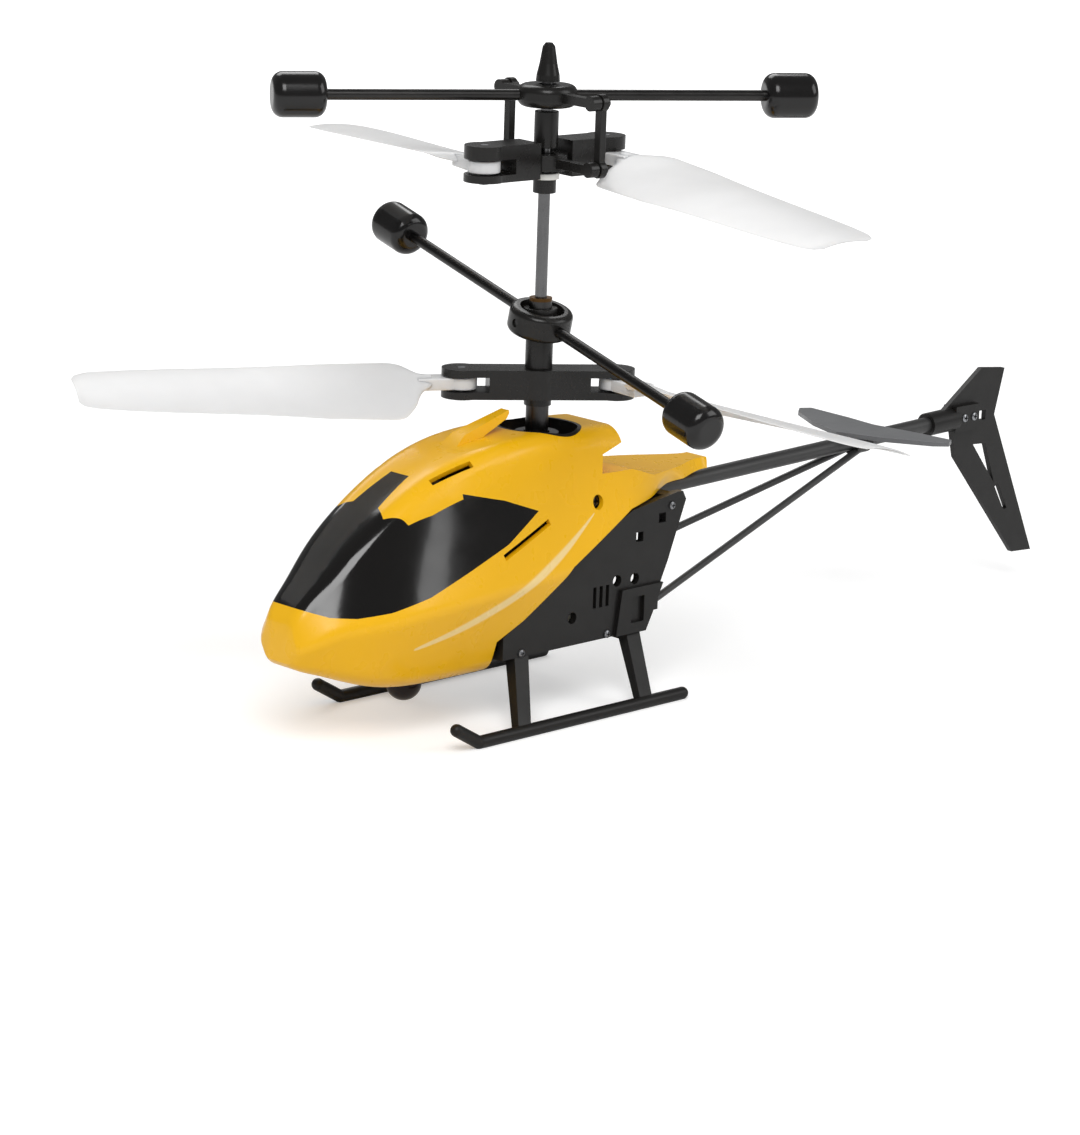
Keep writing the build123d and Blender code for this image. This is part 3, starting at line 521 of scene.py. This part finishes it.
@dataclass
class ShapeTree:
    """A Geometry Nodes tree that ends in Realize Instances and Set Material.

    Attributes:
        name: the tree's name.
        inputs: names of its number inputs.
    """

    name: str
    inputs: tuple[str, ...]

    def __post_init__(self) -> None:
        """Makes the tree and its sockets."""
        self.tree = bpy.data.node_groups.new(self.name, "GeometryNodeTree")
        new_socket = self.tree.interface.new_socket
        new_socket(name="Geometry", in_out="INPUT", socket_type="NodeSocketGeometry")
        kinds = {name: "NodeSocketFloat" for name in self.inputs}
        self.keys = {
            name: new_socket(name=name, in_out="INPUT", socket_type=kind).identifier
            for name, kind in {**kinds, "Finish": "NodeSocketMaterial"}.items()
        }
        new_socket(name="Geometry", in_out="OUTPUT", socket_type="NodeSocketGeometry")
        self.given = add(self.tree, "NodeGroupInput").outputs

    def node(self, kind: str, settings: dict | None = None, inputs: dict | None = None) -> Node:
        """Adds a node to the tree."""
        return add(self.tree, kind, settings, inputs)

    def math(self, operation: str, *values: "Socket | float") -> Socket:
        """Result of a math operation on up to three values."""
        return reckon(self.tree, operation, *values)

    def vector(self, **axes: Socket) -> Socket:
        """A vector from its X, Y and Z, each 0 where it isn't given."""
        return self.node("ShaderNodeCombineXYZ", inputs=axes).outputs[0]

    def axes(self) -> dict[str, Socket]:
        """X, Y and Z of each point's place."""
        place = self.node("GeometryNodeInputPosition").outputs[0]
        return self.node("ShaderNodeSeparateXYZ", inputs={0: place}).outputs

    def moved(self, geometry: Socket, offset: Socket) -> Socket:
        """The geometry, moved by an offset."""
        inputs = {"Geometry": geometry, "Translation": offset}
        return self.node("GeometryNodeTransform", inputs=inputs).outputs[0]

    def close(self, geometry: Socket) -> None:
        """Ends the tree: real geometry, dressed in the finish."""
        real = self.node("GeometryNodeRealizeInstances", inputs={"Geometry": geometry})
        dressed = self.node(
            "GeometryNodeSetMaterial",
            inputs={"Geometry": real.outputs[0], "Material": self.given["Finish"]},
        )
        self.node("NodeGroupOutput", inputs={"Geometry": dressed.outputs[0]})

    def make(self, base: Mesh, finish: Finish, values: dict[str, float]) -> Mesh:
        """Runs the tree on a base mesh.

        Args:
            base: the points or faces that the tree works on.
            finish: the material it sets.
            values: input name to value.

        Returns:
            A plain mesh.
        """
        blank = bpy.data.objects.new(self.name, base)
        bpy.context.scene.collection.objects.link(blank)
        modifier = blank.modifiers.new(self.name, "NODES")
        modifier.node_group = self.tree
        for name, value in {**values, "Finish": finish.material()}.items():
            modifier[self.keys[name]] = value
        return smooth(baked(blank))


# Sides of a screw's head and shank, and stretches round a blade tab's end and its hole.
HEAD_SIDES = 28
SHANK_SIDES = 16
TAB_STEPS = 40
HOLE_STEPS = 24
# A head falls off towards its rim, as this power of the way out, by this share of its height.
DOME_POWER = 2.6
DOME_DROP = 0.55
# The dome is drawn on the points above this share of the head's height.
DOME_FROM = 0.4
# The cross recess: reach and width as shares of the head's radius, depth and lift as shares of its height.
RECESS_REACH = 1.25
RECESS_WIDTH = 0.34
RECESS_DEPTH = 1.1
RECESS_LIFT = 0.55


def screw_tree() -> ShapeTree:
    """Pan-head screws with a cross recess, one at each point, head along the point's axis."""
    names = ("Head radius", "Head height", "Recess width", "Shank radius", "Shank length")
    shape = ShapeTree("Cross recess screws", names)
    radius, height, width, shank_radius, shank_length = (shape.given[name] for name in names)
    head = shape.node(
        "GeometryNodeMeshCylinder",
        inputs={
            "Vertices": HEAD_SIDES,
            "Side Segments": 2,
            "Fill Segments": 4,
            "Radius": radius,
            "Depth": height,
        },
    )
    axes = shape.axes()
    squares = [shape.math("POWER", axes[name], 2.0) for name in ("X", "Y")]
    out = shape.math("SQRT", shape.math("ADD", *squares))
    share = shape.math("POWER", shape.math("DIVIDE", out, radius), DOME_POWER)
    top = shape.math("GREATER_THAN", axes["Z"], shape.math("MULTIPLY", height, DOME_FROM))
    fall = shape.math("MULTIPLY", height, -DOME_DROP)
    drop = shape.math("MULTIPLY", shape.math("MULTIPLY", share, top), fall)
    domed = shape.node(
        "GeometryNodeSetPosition",
        inputs={"Geometry": head.outputs["Mesh"], "Offset": shape.vector(Z=drop)},
    )
    length = shape.math("MULTIPLY", radius, RECESS_REACH)
    deep = shape.math("MULTIPLY", height, RECESS_DEPTH)
    lift = shape.vector(Z=shape.math("MULTIPLY", height, RECESS_LIFT))
    cross = domed.outputs[0]
    for along, across in ((length, width), (width, length)):
        size = shape.vector(X=along, Y=across, Z=deep)
        bar = shape.node("GeometryNodeMeshCube", inputs={"Size": size}).outputs["Mesh"]
        cross = shape.node(
            "GeometryNodeMeshBoolean",
            {"operation": "DIFFERENCE"},
            {"Mesh 1": cross, "Mesh 2": shape.moved(bar, lift)},
        ).outputs["Mesh"]
    shank = shape.node(
        "GeometryNodeMeshCylinder",
        inputs={"Vertices": SHANK_SIDES, "Radius": shank_radius, "Depth": shank_length},
    )
    sunk = shape.math("MULTIPLY", shape.math("ADD", shank_length, height), -0.5)
    screw = shape.node("GeometryNodeJoinGeometry")
    for part in (shape.moved(shank.outputs["Mesh"], shape.vector(Z=sunk)), cross):
        shape.tree.links.new(part, screw.inputs[0])
    axis = shape.node("GeometryNodeInputNamedAttribute", {"data_type": "FLOAT_VECTOR"}, {"Name": "axis"})
    aim = shape.node(
        "FunctionNodeAlignRotationToVector",
        {"axis": "Z"},
        {"Vector": axis.outputs["Attribute"]},
    )
    screws = shape.node(
        "GeometryNodeInstanceOnPoints",
        inputs={
            "Points": shape.given["Geometry"],
            "Instance": screw.outputs[0],
            "Rotation": aim.outputs[0],
        },
    )
    shape.close(screws.outputs[0])
    return shape


@dataclass(frozen=True)
class Planform:
    """How a moulded rotor blade's section changes along its span.

    Each curve runs from 0 at the neck to 1 at the tip, as a share of its size.

    Attributes:
        lead: edge ahead of the span line.
        trail: edge behind the span line.
        thick: thickness.
        settle: how fast the pitch sets in past the neck.
        lead_mm: widest lead.
        trail_mm: widest trail.
        thick_mm: full thickness, of which the neck has most.
        sections: rows of points along the span.
        section_points: points round a section.
        seam_m: how near the points of a section's seam lie.
    """

    lead: Points = (
        (0.0, 0.30), (0.03, 0.50), (0.075, 0.93), (0.12, 1.0),
        (0.5, 0.90), (0.93, 0.79), (0.975, 0.66), (1.0, 0.34),
    )
    trail: Points = (
        (0.0, 0.17), (0.03, 0.30), (0.085, 0.80), (0.14, 1.0),
        (0.5, 0.93), (0.93, 0.82), (0.975, 0.76), (1.0, 0.60),
    )
    thick: Points = ((0.0, 0.72), (0.06, 0.55), (0.14, 0.36), (0.6, 0.30), (0.97, 0.24), (1.0, 0.02))
    settle: Points = ((0.0, 0.0), (0.05, 0.72), (0.11, 1.0), (1.0, 1.0))
    lead_mm: float = 7.35
    trail_mm: float = 13.65
    thick_mm: float = 3.0
    sections: int = 97
    section_points: int = 41
    seam_m: float = 5e-6


def blade_tree(plan: Planform) -> ShapeTree:
    """A twisted, cambered blade drawn over a grid: columns go round the section, rows along the span."""
    names = ("Neck", "Span", "Root pitch", "Washout", "Camber", "Coning", "Lead", "Trail", "Thickness")
    shape = ShapeTree("Twisted blade", names)
    given = shape.given
    sheet = shape.node(
        "GeometryNodeMeshGrid",
        inputs={"Size X": 1.0, "Size Y": 1.0, "Vertices X": plan.sections, "Vertices Y": plan.section_points},
    ).outputs["Mesh"]
    grid = shape.axes()
    along = shape.math("ADD", grid["X"], 0.5)
    around = shape.math("MULTIPLY", grid["Y"], math.tau)

    def rule(points: Points, size: Socket) -> Socket:
        """A planform curve's value here, times its size."""
        return shape.math("MULTIPLY", follow(shape.tree, along, points), size)

    lead = rule(plan.lead, given["Lead"])
    trail = rule(plan.trail, given["Trail"])
    thick = rule(plan.thick, given["Thickness"])
    twist = shape.math("SUBTRACT", given["Root pitch"], shape.math("MULTIPLY", along, given["Washout"]))
    pitch = rule(plan.settle, twist)
    half_chord = shape.math("MULTIPLY", shape.math("ADD", lead, trail), 0.5)
    middle = shape.math("MULTIPLY", shape.math("SUBTRACT", lead, trail), 0.5)
    across = shape.math("MULTIPLY_ADD", half_chord, shape.math("COSINE", around), middle)
    sine = shape.math("SINE", around)
    arch = shape.math("MULTIPLY", shape.math("MULTIPLY", sine, sine), given["Camber"])
    height = shape.math("MULTIPLY_ADD", shape.math("MULTIPLY", thick, 0.5), sine, arch)
    cosp, sinp = shape.math("COSINE", pitch), shape.math("SINE", pitch)
    out = shape.math("MULTIPLY_ADD", along, given["Span"], given["Neck"])
    side = shape.math("SUBTRACT", shape.math("MULTIPLY", across, cosp), shape.math("MULTIPLY", height, sinp))
    lift = shape.math("ADD", shape.math("MULTIPLY", across, sinp), shape.math("MULTIPLY", height, cosp))
    rise = shape.math("MULTIPLY", shape.math("MULTIPLY", along, given["Span"]), given["Coning"])
    place = shape.vector(X=out, Y=side, Z=shape.math("ADD", lift, rise))
    bent = shape.node("GeometryNodeSetPosition", inputs={"Geometry": sheet, "Position": place})
    closed = shape.node(
        "GeometryNodeMergeByDistance",
        inputs={"Geometry": bent.outputs[0], "Distance": plan.seam_m},
    )
    shape.close(closed.outputs[0])
    return shape


# --- sub-assemblies --------------------------------------------------------------


@dataclass
class SubAssembly:
    """A group of CAD nodes that are dressed together.

    Attributes:
        moulded: CAD nodes whose edges are rounded, with finish and edge width in mm.
        plain: CAD nodes that keep their shape, with their finish.
    """

    moulded: dict[str, tuple[Finish, float]] = field(default_factory=dict)
    plain: dict[str, Finish] = field(default_factory=dict)

    def build(self) -> None:
        """Makes the pieces of the sub-assembly."""
        for node, (finish, edge_mm) in self.moulded.items():
            rounded(node, finish, edge_mm)
        for node, finish in self.plain.items():
            keep(node, finish)


@dataclass
class Shell(SubAssembly):
    """The yellow shell with what is moulded into it and stands in its openings.

    Attributes:
        skins: CAD nodes with curved faces, which are welded and shaded smooth, with their finish.
    """

    skins: dict[str, Finish] = field(default_factory=dict)

    def build(self) -> None:
        """Makes the pieces, then the skins with every face as it is."""
        super().build()
        for node, finish in self.skins.items():
            put(welded(node, flat_deg=0.0), node, finish)


def joint(name: str) -> dict:
    """The record's entry for a joint."""
    return next(entry for entry in frame["joints"] if entry["name"] == name)


def boxes(node: str) -> list[tuple[Vector, Vector]]:
    """Lowest and highest corners of each separate solid of a CAD node, in metres."""
    shape = bmesh.new()
    shape.from_mesh(frame["nodes"][node].data)
    bmesh.ops.remove_doubles(shape, verts=shape.verts, dist=MERGE)
    left, found = set(shape.verts), []
    while left:
        reach = [left.pop()]
        solid = list(reach)
        while reach:
            for edge in reach.pop().link_edges:
                for vertex in edge.verts:
                    if vertex in left:
                        left.remove(vertex)
                        reach.append(vertex)
                        solid.append(vertex)
        corners = [[vertex.co[axis] for vertex in solid] for axis in range(3)]
        found.append((Vector(map(min, corners)), Vector(map(max, corners))))
    shape.free()
    return found


@dataclass
class Screws:
    """One group of identical screws, at the places of a CAD node's solids.

    Attributes:
        node: the CAD node that holds them.
        head_radius_mm: radius of the head.
        head_height_mm: height of the head.
        shank_radius_mm: radius of the shank.
        axis: direction that the heads face; None where they face away from the mirror plane.
        finish: their plating.
    """

    node: str
    head_radius_mm: float
    head_height_mm: float
    shank_radius_mm: float
    axis: Vector | None = None
    finish: Finish = SCREW_ZINC

    def build(self, shape: ShapeTree) -> None:
        """Places a screw at each of the node's solids."""
        base = bpy.data.meshes.new(self.node + "_points")
        places, axes, lengths = [], [], []
        for low, high in boxes(self.node):
            middle = (low + high) / 2
            facing = self.axis or Vector((math.copysign(1.0, middle.x), 0.0, 0.0))
            length = abs((high - low).dot(facing)) - self.head_height_mm * MM
            places.append(middle + facing * length / 2)
            axes.append(facing)
            lengths.append(length)
        base.from_pydata(places, [], [])
        attribute = base.attributes.new("axis", "FLOAT_VECTOR", "POINT")
        for item, facing in zip(attribute.data, axes):
            item.vector = facing
        sizes = {
            "Head radius": self.head_radius_mm * MM,
            "Head height": self.head_height_mm * MM,
            "Recess width": RECESS_WIDTH * self.head_radius_mm * MM,
            "Shank radius": self.shank_radius_mm * MM,
            "Shank length": min(lengths),
        }
        put(shape.make(base, self.finish, sizes), self.node, self.finish)


def arc(radius: float, start: float, end: float, steps: int) -> list[tuple[float, float]]:
    """Points along an arc round the origin, with both of its ends.

    Args:
        radius: the arc's radius.
        start: angle of its first point, in radians.
        end: angle of its last point, in radians.
        steps: number of stretches between points.

    Returns:
        The points, in the radius's unit.
    """
    turns = [start + (end - start) * step / steps for step in range(steps + 1)]
    return [(radius * math.cos(turn), radius * math.sin(turn)) for turn in turns]


class Hand(Enum):
    """Way that a rotor turns, seen from above."""

    CLOCKWISE = -1
    COUNTER_CLOCKWISE = 1


@dataclass
class Blade:
    """A moulded rotor blade with its root tab.

    Attributes:
        node: the CAD node that it replaces.
        fold: the joint whose pin holds it.
        heading_deg: the way that it points.
        hand: the way that its rotor turns.
        coning_deg: rise towards the tip.
        root_pitch_deg: pitch of its root.
        tip_pitch_deg: pitch of its tip.
        span_mm: from the pin to the tip.
        neck_mm: from the pin to the start of the blade's section.
        camber_mm: rise of the middle of its section.
        tab_radius_mm: radius of the root tab.
        tab_mm: thickness of the root tab.
        tab_overlap_mm: how far the tab runs into the blade.
        neck_half_mm: half the width of the tab's neck.
        hole_mm: radius of the grip screw's hole.
        tab_edge_mm: rounding of the tab's edges.
    """

    node: str
    fold: str
    heading_deg: float
    hand: Hand
    coning_deg: float
    root_pitch_deg: float = 22.0
    tip_pitch_deg: float = 13.0
    span_mm: float = 78.0
    neck_mm: float = 6.4
    camber_mm: float = 0.55
    tab_radius_mm: float = 3.2
    tab_mm: float = 2.4
    tab_overlap_mm: float = 3.0
    neck_half_mm: float = 2.5
    hole_mm: float = 0.84
    tab_edge_mm: float = 0.25

    def tab(self) -> Mesh:
        """The rounded root tab with the hole for its grip screw."""
        flat = bpy.data.curves.new("tab", "CURVE")
        flat.dimensions = "2D"
        start = math.asin(self.neck_half_mm / self.tab_radius_mm)
        inner = self.neck_mm + self.tab_overlap_mm
        edge = arc(self.tab_radius_mm, start, math.tau - start, TAB_STEPS)
        edge += [(inner, -self.neck_half_mm), (inner, self.neck_half_mm)]
        hole = arc(self.hole_mm, 0.0, math.tau, HOLE_STEPS)[:-1]
        for outline in (edge, hole):
            spline = flat.splines.new("POLY")
            spline.points.add(len(outline) - 1)
            for point, (x, y) in zip(spline.points, outline):
                point.co = (x * MM, y * MM, 0.0, 1.0)
            spline.use_cyclic_u = True
        flat.fill_mode = "BOTH"
        flat.extrude = (self.tab_mm / 2 - self.tab_edge_mm) * MM
        flat.bevel_depth = self.tab_edge_mm * MM
        flat.bevel_resolution = EDGE_STEPS
        flat.offset = -self.tab_edge_mm * MM
        blank = bpy.data.objects.new("tab", flat)
        bpy.context.scene.collection.objects.link(blank)
        return baked(blank)

    def build(self, shape: ShapeTree, plan: Planform) -> None:
        """Makes the blade and puts it on its grip pin."""
        sheet = bpy.data.meshes.new(self.node + "_seed")
        sheet.from_pydata([(0.0, 0.0, 0.0)], [], [])
        wing = shape.make(
            sheet,
            BLADE_PP,
            {
                "Neck": self.neck_mm * MM,
                "Span": (self.span_mm - self.neck_mm) * MM,
                "Root pitch": math.radians(self.root_pitch_deg),
                "Washout": math.radians(self.root_pitch_deg - self.tip_pitch_deg),
                "Camber": self.camber_mm * MM,
                "Coning": math.tan(math.radians(self.coning_deg)),
                "Lead": plan.lead_mm * MM,
                "Trail": plan.trail_mm * MM,
                "Thickness": plan.thick_mm * MM,
            },
        )
        joined = bmesh.new()
        joined.from_mesh(wing)
        joined.from_mesh(self.tab())
        pin = Vector(joint(self.fold)["pos_m"])
        placed = Matrix.Translation(pin) @ Matrix.Rotation(math.radians(self.heading_deg), 4, "Z")
        placed @= Matrix.Diagonal((1.0, self.hand.value, 1.0, 1.0))
        bmesh.ops.transform(joined, matrix=placed, verts=joined.verts)
        bmesh.ops.remove_doubles(joined, verts=joined.verts, dist=MERGE)
        bmesh.ops.recalc_face_normals(joined, faces=joined.faces)
        mesh = bpy.data.meshes.new(self.node)
        joined.to_mesh(mesh)
        joined.free()
        put(smooth(mesh), self.node, BLADE_PP)


@dataclass(frozen=True)
class SoftBox:
    """A soft light that faces the helicopter.

    Attributes:
        name: the light's name.
        place: where it stands, in metres.
        size: its width and height, in metres.
        watts: its power.
        aim: the spot that it faces, in metres.
    """

    name: str
    place: Triple
    size: tuple[float, float]
    watts: float
    aim: Triple = (0.0, 0.03, 0.06)

    def build(self) -> None:
        """Adds the light."""
        data = bpy.data.lights.new(self.name, "AREA")
        data.shape = "RECTANGLE"
        data.size, data.size_y = self.size
        data.energy = self.watts
        box = bpy.data.objects.new(self.name, data)
        facing = Vector(self.aim) - Vector(self.place)
        turned = facing.to_track_quat("-Z", "Y").to_matrix().to_4x4()
        box.matrix_world = Matrix.Translation(self.place) @ turned
        bpy.context.scene.collection.objects.link(box)


@dataclass(frozen=True)
class Studio:
    """The floor, the soft light and the camera.

    Attributes:
        azimuth_deg: the camera's way round from the nose.
        elevation_deg: the camera's angle above the floor.
        roll_deg: the camera's tilt.
        distance: from the camera to its aim, in metres.
        shift_right: how far the picture moves to the right, in metres at the aim.
        shift_up: how far it moves up, in metres at the aim.
        aim_height: height of the aim, in metres.
        lens_mm: focal length.
        sensor_mm: width of the sensor.
        near: nearest that the camera sees, in metres.
        floor_half: half the floor's width, in metres.
        floor_colour: its sRGB hex colour.
        floor_roughness: its roughness.
        haze_reach: how far from the middle the floor starts and stops to whiten, in metres.
        haze: glow that the lens sees in the floor at those two places.
        sky_light: strength of the surround as light.
        sky_mirrored: its strength in reflections.
        sky_seen: its strength to the lens.
        lights: the soft boxes.
    """

    azimuth_deg: float = 45.5
    elevation_deg: float = 14.2
    roll_deg: float = 1.9
    distance: float = 0.8163
    shift_right: float = -0.00245
    shift_up: float = -0.0251
    aim_height: float = 0.0012
    lens_mm: float = 133.33
    sensor_mm: float = 36.0
    near: float = 0.01
    floor_half: float = 6.0
    floor_colour: str = "E6E6E6"
    floor_roughness: float = 0.5
    haze_reach: tuple[float, float] = (0.3, 2.0)
    haze: tuple[float, float] = (0.30, 1.0)
    sky_light: float = 0.56
    sky_mirrored: float = 0.16
    sky_seen: float = 1.0
    lights: tuple[SoftBox, ...] = (
        SoftBox("Key", (0.9, -0.9, 1.3), (0.9, 0.9), 14.5),
        SoftBox("Fill", (1.2, 0.9, 0.9), (1.0, 1.0), 7.5),
        SoftBox("Back", (-1.1, 0.6, 1.2), (1.2, 0.8), 9.0),
    )

    def camera(self) -> None:
        """Puts the camera at its viewing angle and makes it the scene's camera."""
        angles = (self.azimuth_deg, self.elevation_deg, self.roll_deg)
        azimuth, elevation, roll = (math.radians(angle) for angle in angles)
        ahead = Vector((math.sin(azimuth), -math.cos(azimuth), 0.0))
        back = math.cos(elevation) * ahead + Vector((0.0, 0.0, math.sin(elevation)))
        level = Vector((math.cos(azimuth), math.sin(azimuth), 0.0))
        above = back.cross(level)
        right = math.cos(roll) * level + math.sin(roll) * above
        up = math.cos(roll) * above - math.sin(roll) * level
        aim = Vector((0.0, 0.0, self.aim_height))
        place = aim + back * self.distance - right * self.shift_right - up * self.shift_up
        data = bpy.data.cameras.new("Camera")
        data.lens = self.lens_mm
        data.sensor_width = self.sensor_mm
        data.sensor_fit = "HORIZONTAL"
        data.clip_start = self.near
        eye = bpy.data.objects.new("Camera", data)
        eye.matrix_world = Matrix.Translation(place) @ Matrix((right, up, back)).transposed().to_4x4()
        bpy.context.scene.collection.objects.link(eye)
        bpy.context.scene.camera = eye

    def floor_material(self) -> bpy.types.Material:
        """A pale matt floor that the lens sees as white, with the helicopter's own shadow left on it."""
        material = bpy.data.materials.new("Pale_floor")
        material.use_nodes = True
        tree = material.node_tree
        tree.nodes.clear()
        matte = add(
            tree,
            "ShaderNodeBsdfDiffuse",
            inputs={"Color": linear(self.floor_colour), "Roughness": self.floor_roughness},
        )
        rays = add(tree, "ShaderNodeLightPath").outputs
        seen = reckon(tree, "MAXIMUM", rays["Is Camera Ray"], rays["Is Transmission Ray"])
        place = add(tree, "ShaderNodeTexCoord").outputs["Object"]
        distance = add(tree, "ShaderNodeVectorMath", {"operation": "LENGTH"}, {0: place}).outputs["Value"]
        haze = remap(tree, distance, self.haze_reach, self.haze)
        strength = reckon(tree, "MULTIPLY", seen, haze)
        glow = add(tree, "ShaderNodeEmission", inputs={"Color": WHITE, "Strength": strength})
        both = add(tree, "ShaderNodeAddShader", inputs={0: matte.outputs[0], 1: glow.outputs[0]})
        add(tree, "ShaderNodeOutputMaterial", inputs={"Surface": both.outputs[0]})
        return material

    def floor(self) -> None:
        """Adds the plain pale floor."""
        shape = bmesh.new()
        bmesh.ops.create_grid(shape, x_segments=1, y_segments=1, size=self.floor_half)
        mesh = bpy.data.meshes.new("Floor")
        shape.to_mesh(mesh)
        shape.free()
        mesh.materials.append(self.floor_material())
        ground = bpy.data.objects.new("Floor", mesh)
        bpy.context.scene.collection.objects.link(ground)

    def sky(self) -> None:
        """A soft white surround: white to the lens, dimmer in reflections so that gloss stays clear."""
        world = bpy.data.worlds.new("Surround")
        world.use_nodes = True
        tree = world.node_tree
        tree.nodes.clear()
        rays = add(tree, "ShaderNodeLightPath").outputs
        lit = remap(tree, rays["Is Glossy Ray"], UNIT, (self.sky_light, self.sky_mirrored))
        strength = remap(tree, rays["Is Camera Ray"], UNIT, (lit, self.sky_seen))
        glow = add(tree, "ShaderNodeBackground", inputs={"Color": WHITE, "Strength": strength})
        add(tree, "ShaderNodeOutputWorld", inputs={"Surface": glow.outputs[0]})
        bpy.context.scene.world = world

    def build(self) -> None:
        """Sets up the whole studio."""
        self.camera()
        self.floor()
        self.sky()
        for light in self.lights:
            light.build()
        bpy.context.scene.view_settings.view_transform = "Standard"


# --- what the helicopter is made of -----------------------------------------------


def sub_assemblies() -> tuple[SubAssembly, ...]:
    """The helicopter's sub-assemblies, with the finish of each node."""
    shell = Shell(
        moulded={"mast_tower": (FRAME_NYLON, 0.12)},
        plain={"sensor_dome": SENSOR_LENS},
        skins={"body_shell": SHELL_ABS, "canopy_window": SMOKED_WINDOW},
    )
    chassis = SubAssembly(
        moulded={
            "frame_plate_left": (FRAME_NYLON, 0.14),
            "frame_plate_right": (FRAME_NYLON, 0.14),
            "frame_floor": (FRAME_NYLON, 0.12),
            "motor_deck": (FRAME_NYLON, 0.12),
            "top_deck": (FRAME_NYLON, 0.12),
            "boom_block": (FRAME_NYLON, 0.2),
            "skid_legs_front": (FRAME_NYLON, 0.3),
            "skid_legs_rear": (FRAME_NYLON, 0.3),
        },
        plain={
            "runner_left": FRAME_NYLON,
            "runner_right": FRAME_NYLON,
            "frame_bushes": BUSH_BRONZE,
        },
    )
    power = SubAssembly(
        moulded={
            "switch_housing": (SWITCH_STEEL, 0.12),
            "switch_knob": (KNOB_PLASTIC, 0.1),
            "charging_socket": (SOCKET_PBT, 0.12),
        },
        plain={
            "battery": POUCH_FOIL,
            "control_board": BOARD_MASK,
            "board_components": CHIP_EPOXY,
        },
    )
    drive = SubAssembly(
        plain={
            "motor_front": MOTOR_NICKEL,
            "motor_rear": MOTOR_NICKEL,
            "pinion_front": PINION_BRASS,
            "pinion_rear": PINION_BRASS,
            "main_gear_lower": GEAR_NYLON,
            "main_gear_upper": GEAR_NYLON,
            "inner_shaft": SHAFT_STEEL,
            "outer_tube": TUBE_STEEL,
            "tube_bushes": BUSH_BRONZE,
        },
    )
    tail = SubAssembly(
        moulded={
            "tail_fin": (FRAME_NYLON, 0.2),
            "tail_stabiliser": (STABILISER_ABS, 0.2),
            "strut_clamp": (FRAME_NYLON, 0.15),
            "fin_bracket": (FRAME_NYLON, 0.15),
        },
        plain={"tail_boom": BOOM_TUBE, "boom_struts": BOOM_TUBE},
    )
    lower_head = SubAssembly(
        moulded={"lower_clip": (HEAD_ACETAL, 0.15), "lower_flybar_seat": (HEAD_ACETAL, 0.12)},
        plain={
            "lower_flybar_hub": HEAD_ACETAL,
            "lower_flybar_rods": FLYBAR_WIRE,
            "lower_flybar_weights": WEIGHT_ABS,
        },
    )
    upper_head = SubAssembly(
        moulded={
            "upper_clip": (HEAD_ACETAL, 0.15),
            "head_link_left": (HEAD_ACETAL, 0.12),
            "head_link_right": (HEAD_ACETAL, 0.12),
            "head_washer": (WASHER_NYLON, 0.1),
            "head_spacers": (HEAD_ACETAL, 0.12),
        },
        plain={
            "upper_flybar_hub": HEAD_ACETAL,
            "upper_flybar_rods": FLYBAR_WIRE,
            "upper_flybar_weights": WEIGHT_ABS,
            "head_pins": PIN_STEEL,
            "mast_cap": HEAD_ACETAL,
        },
    )
    return shell, chassis, power, drive, tail, lower_head, upper_head


def rotor_blades() -> tuple[Blade, ...]:
    """The four blades, folded part way: the lower pair is steep, the upper pair nearly flat."""
    flat = {"root_pitch_deg": 12.0, "tip_pitch_deg": 4.0}
    lower, upper = Hand.CLOCKWISE, Hand.COUNTER_CLOCKWISE
    return (
        Blade("lower_blade_right", "lower_right_fold", -6.5, lower, coning_deg=1.0),
        Blade("lower_blade_left", "lower_left_fold", 241.5, lower, coning_deg=1.0),
        Blade("upper_blade_right", "upper_right_fold", -8.0, upper, coning_deg=-4.5, **flat),
        Blade("upper_blade_left", "upper_left_fold", 162.0, upper, coning_deg=-2.5, **flat),
    )


def screw_groups() -> tuple[Screws, ...]:
    """The groups of screws, with head radius, head height and shank radius in mm."""
    down = Vector((0.0, 0.0, -1.0))
    left = Vector((1.0, 0.0, 0.0))
    return (
        Screws("frame_screws", 0.8, 0.6, 0.45),
        Screws("shell_screws", 1.3, 1.2, 0.6, finish=DARK_SCREW),
        Screws("tail_screws", 0.9, 0.5, 0.45, left),
        Screws("lower_blade_screws", 1.5, 0.7, 0.8, down),
        Screws("upper_blade_screws", 1.5, 0.7, 0.8, down),
    )


def main() -> None:
    """Builds the sub-assemblies, then the blades, the screws and the studio."""
    for group in sub_assemblies():
        group.build()
    plan = Planform()
    blade_shape = blade_tree(plan)
    for blade in rotor_blades():
        blade.build(blade_shape, plan)
    screw_shape = screw_tree()
    for screws in screw_groups():
        screws.build(screw_shape)
    Studio().build()


if __name__ == "__main__":
    main()
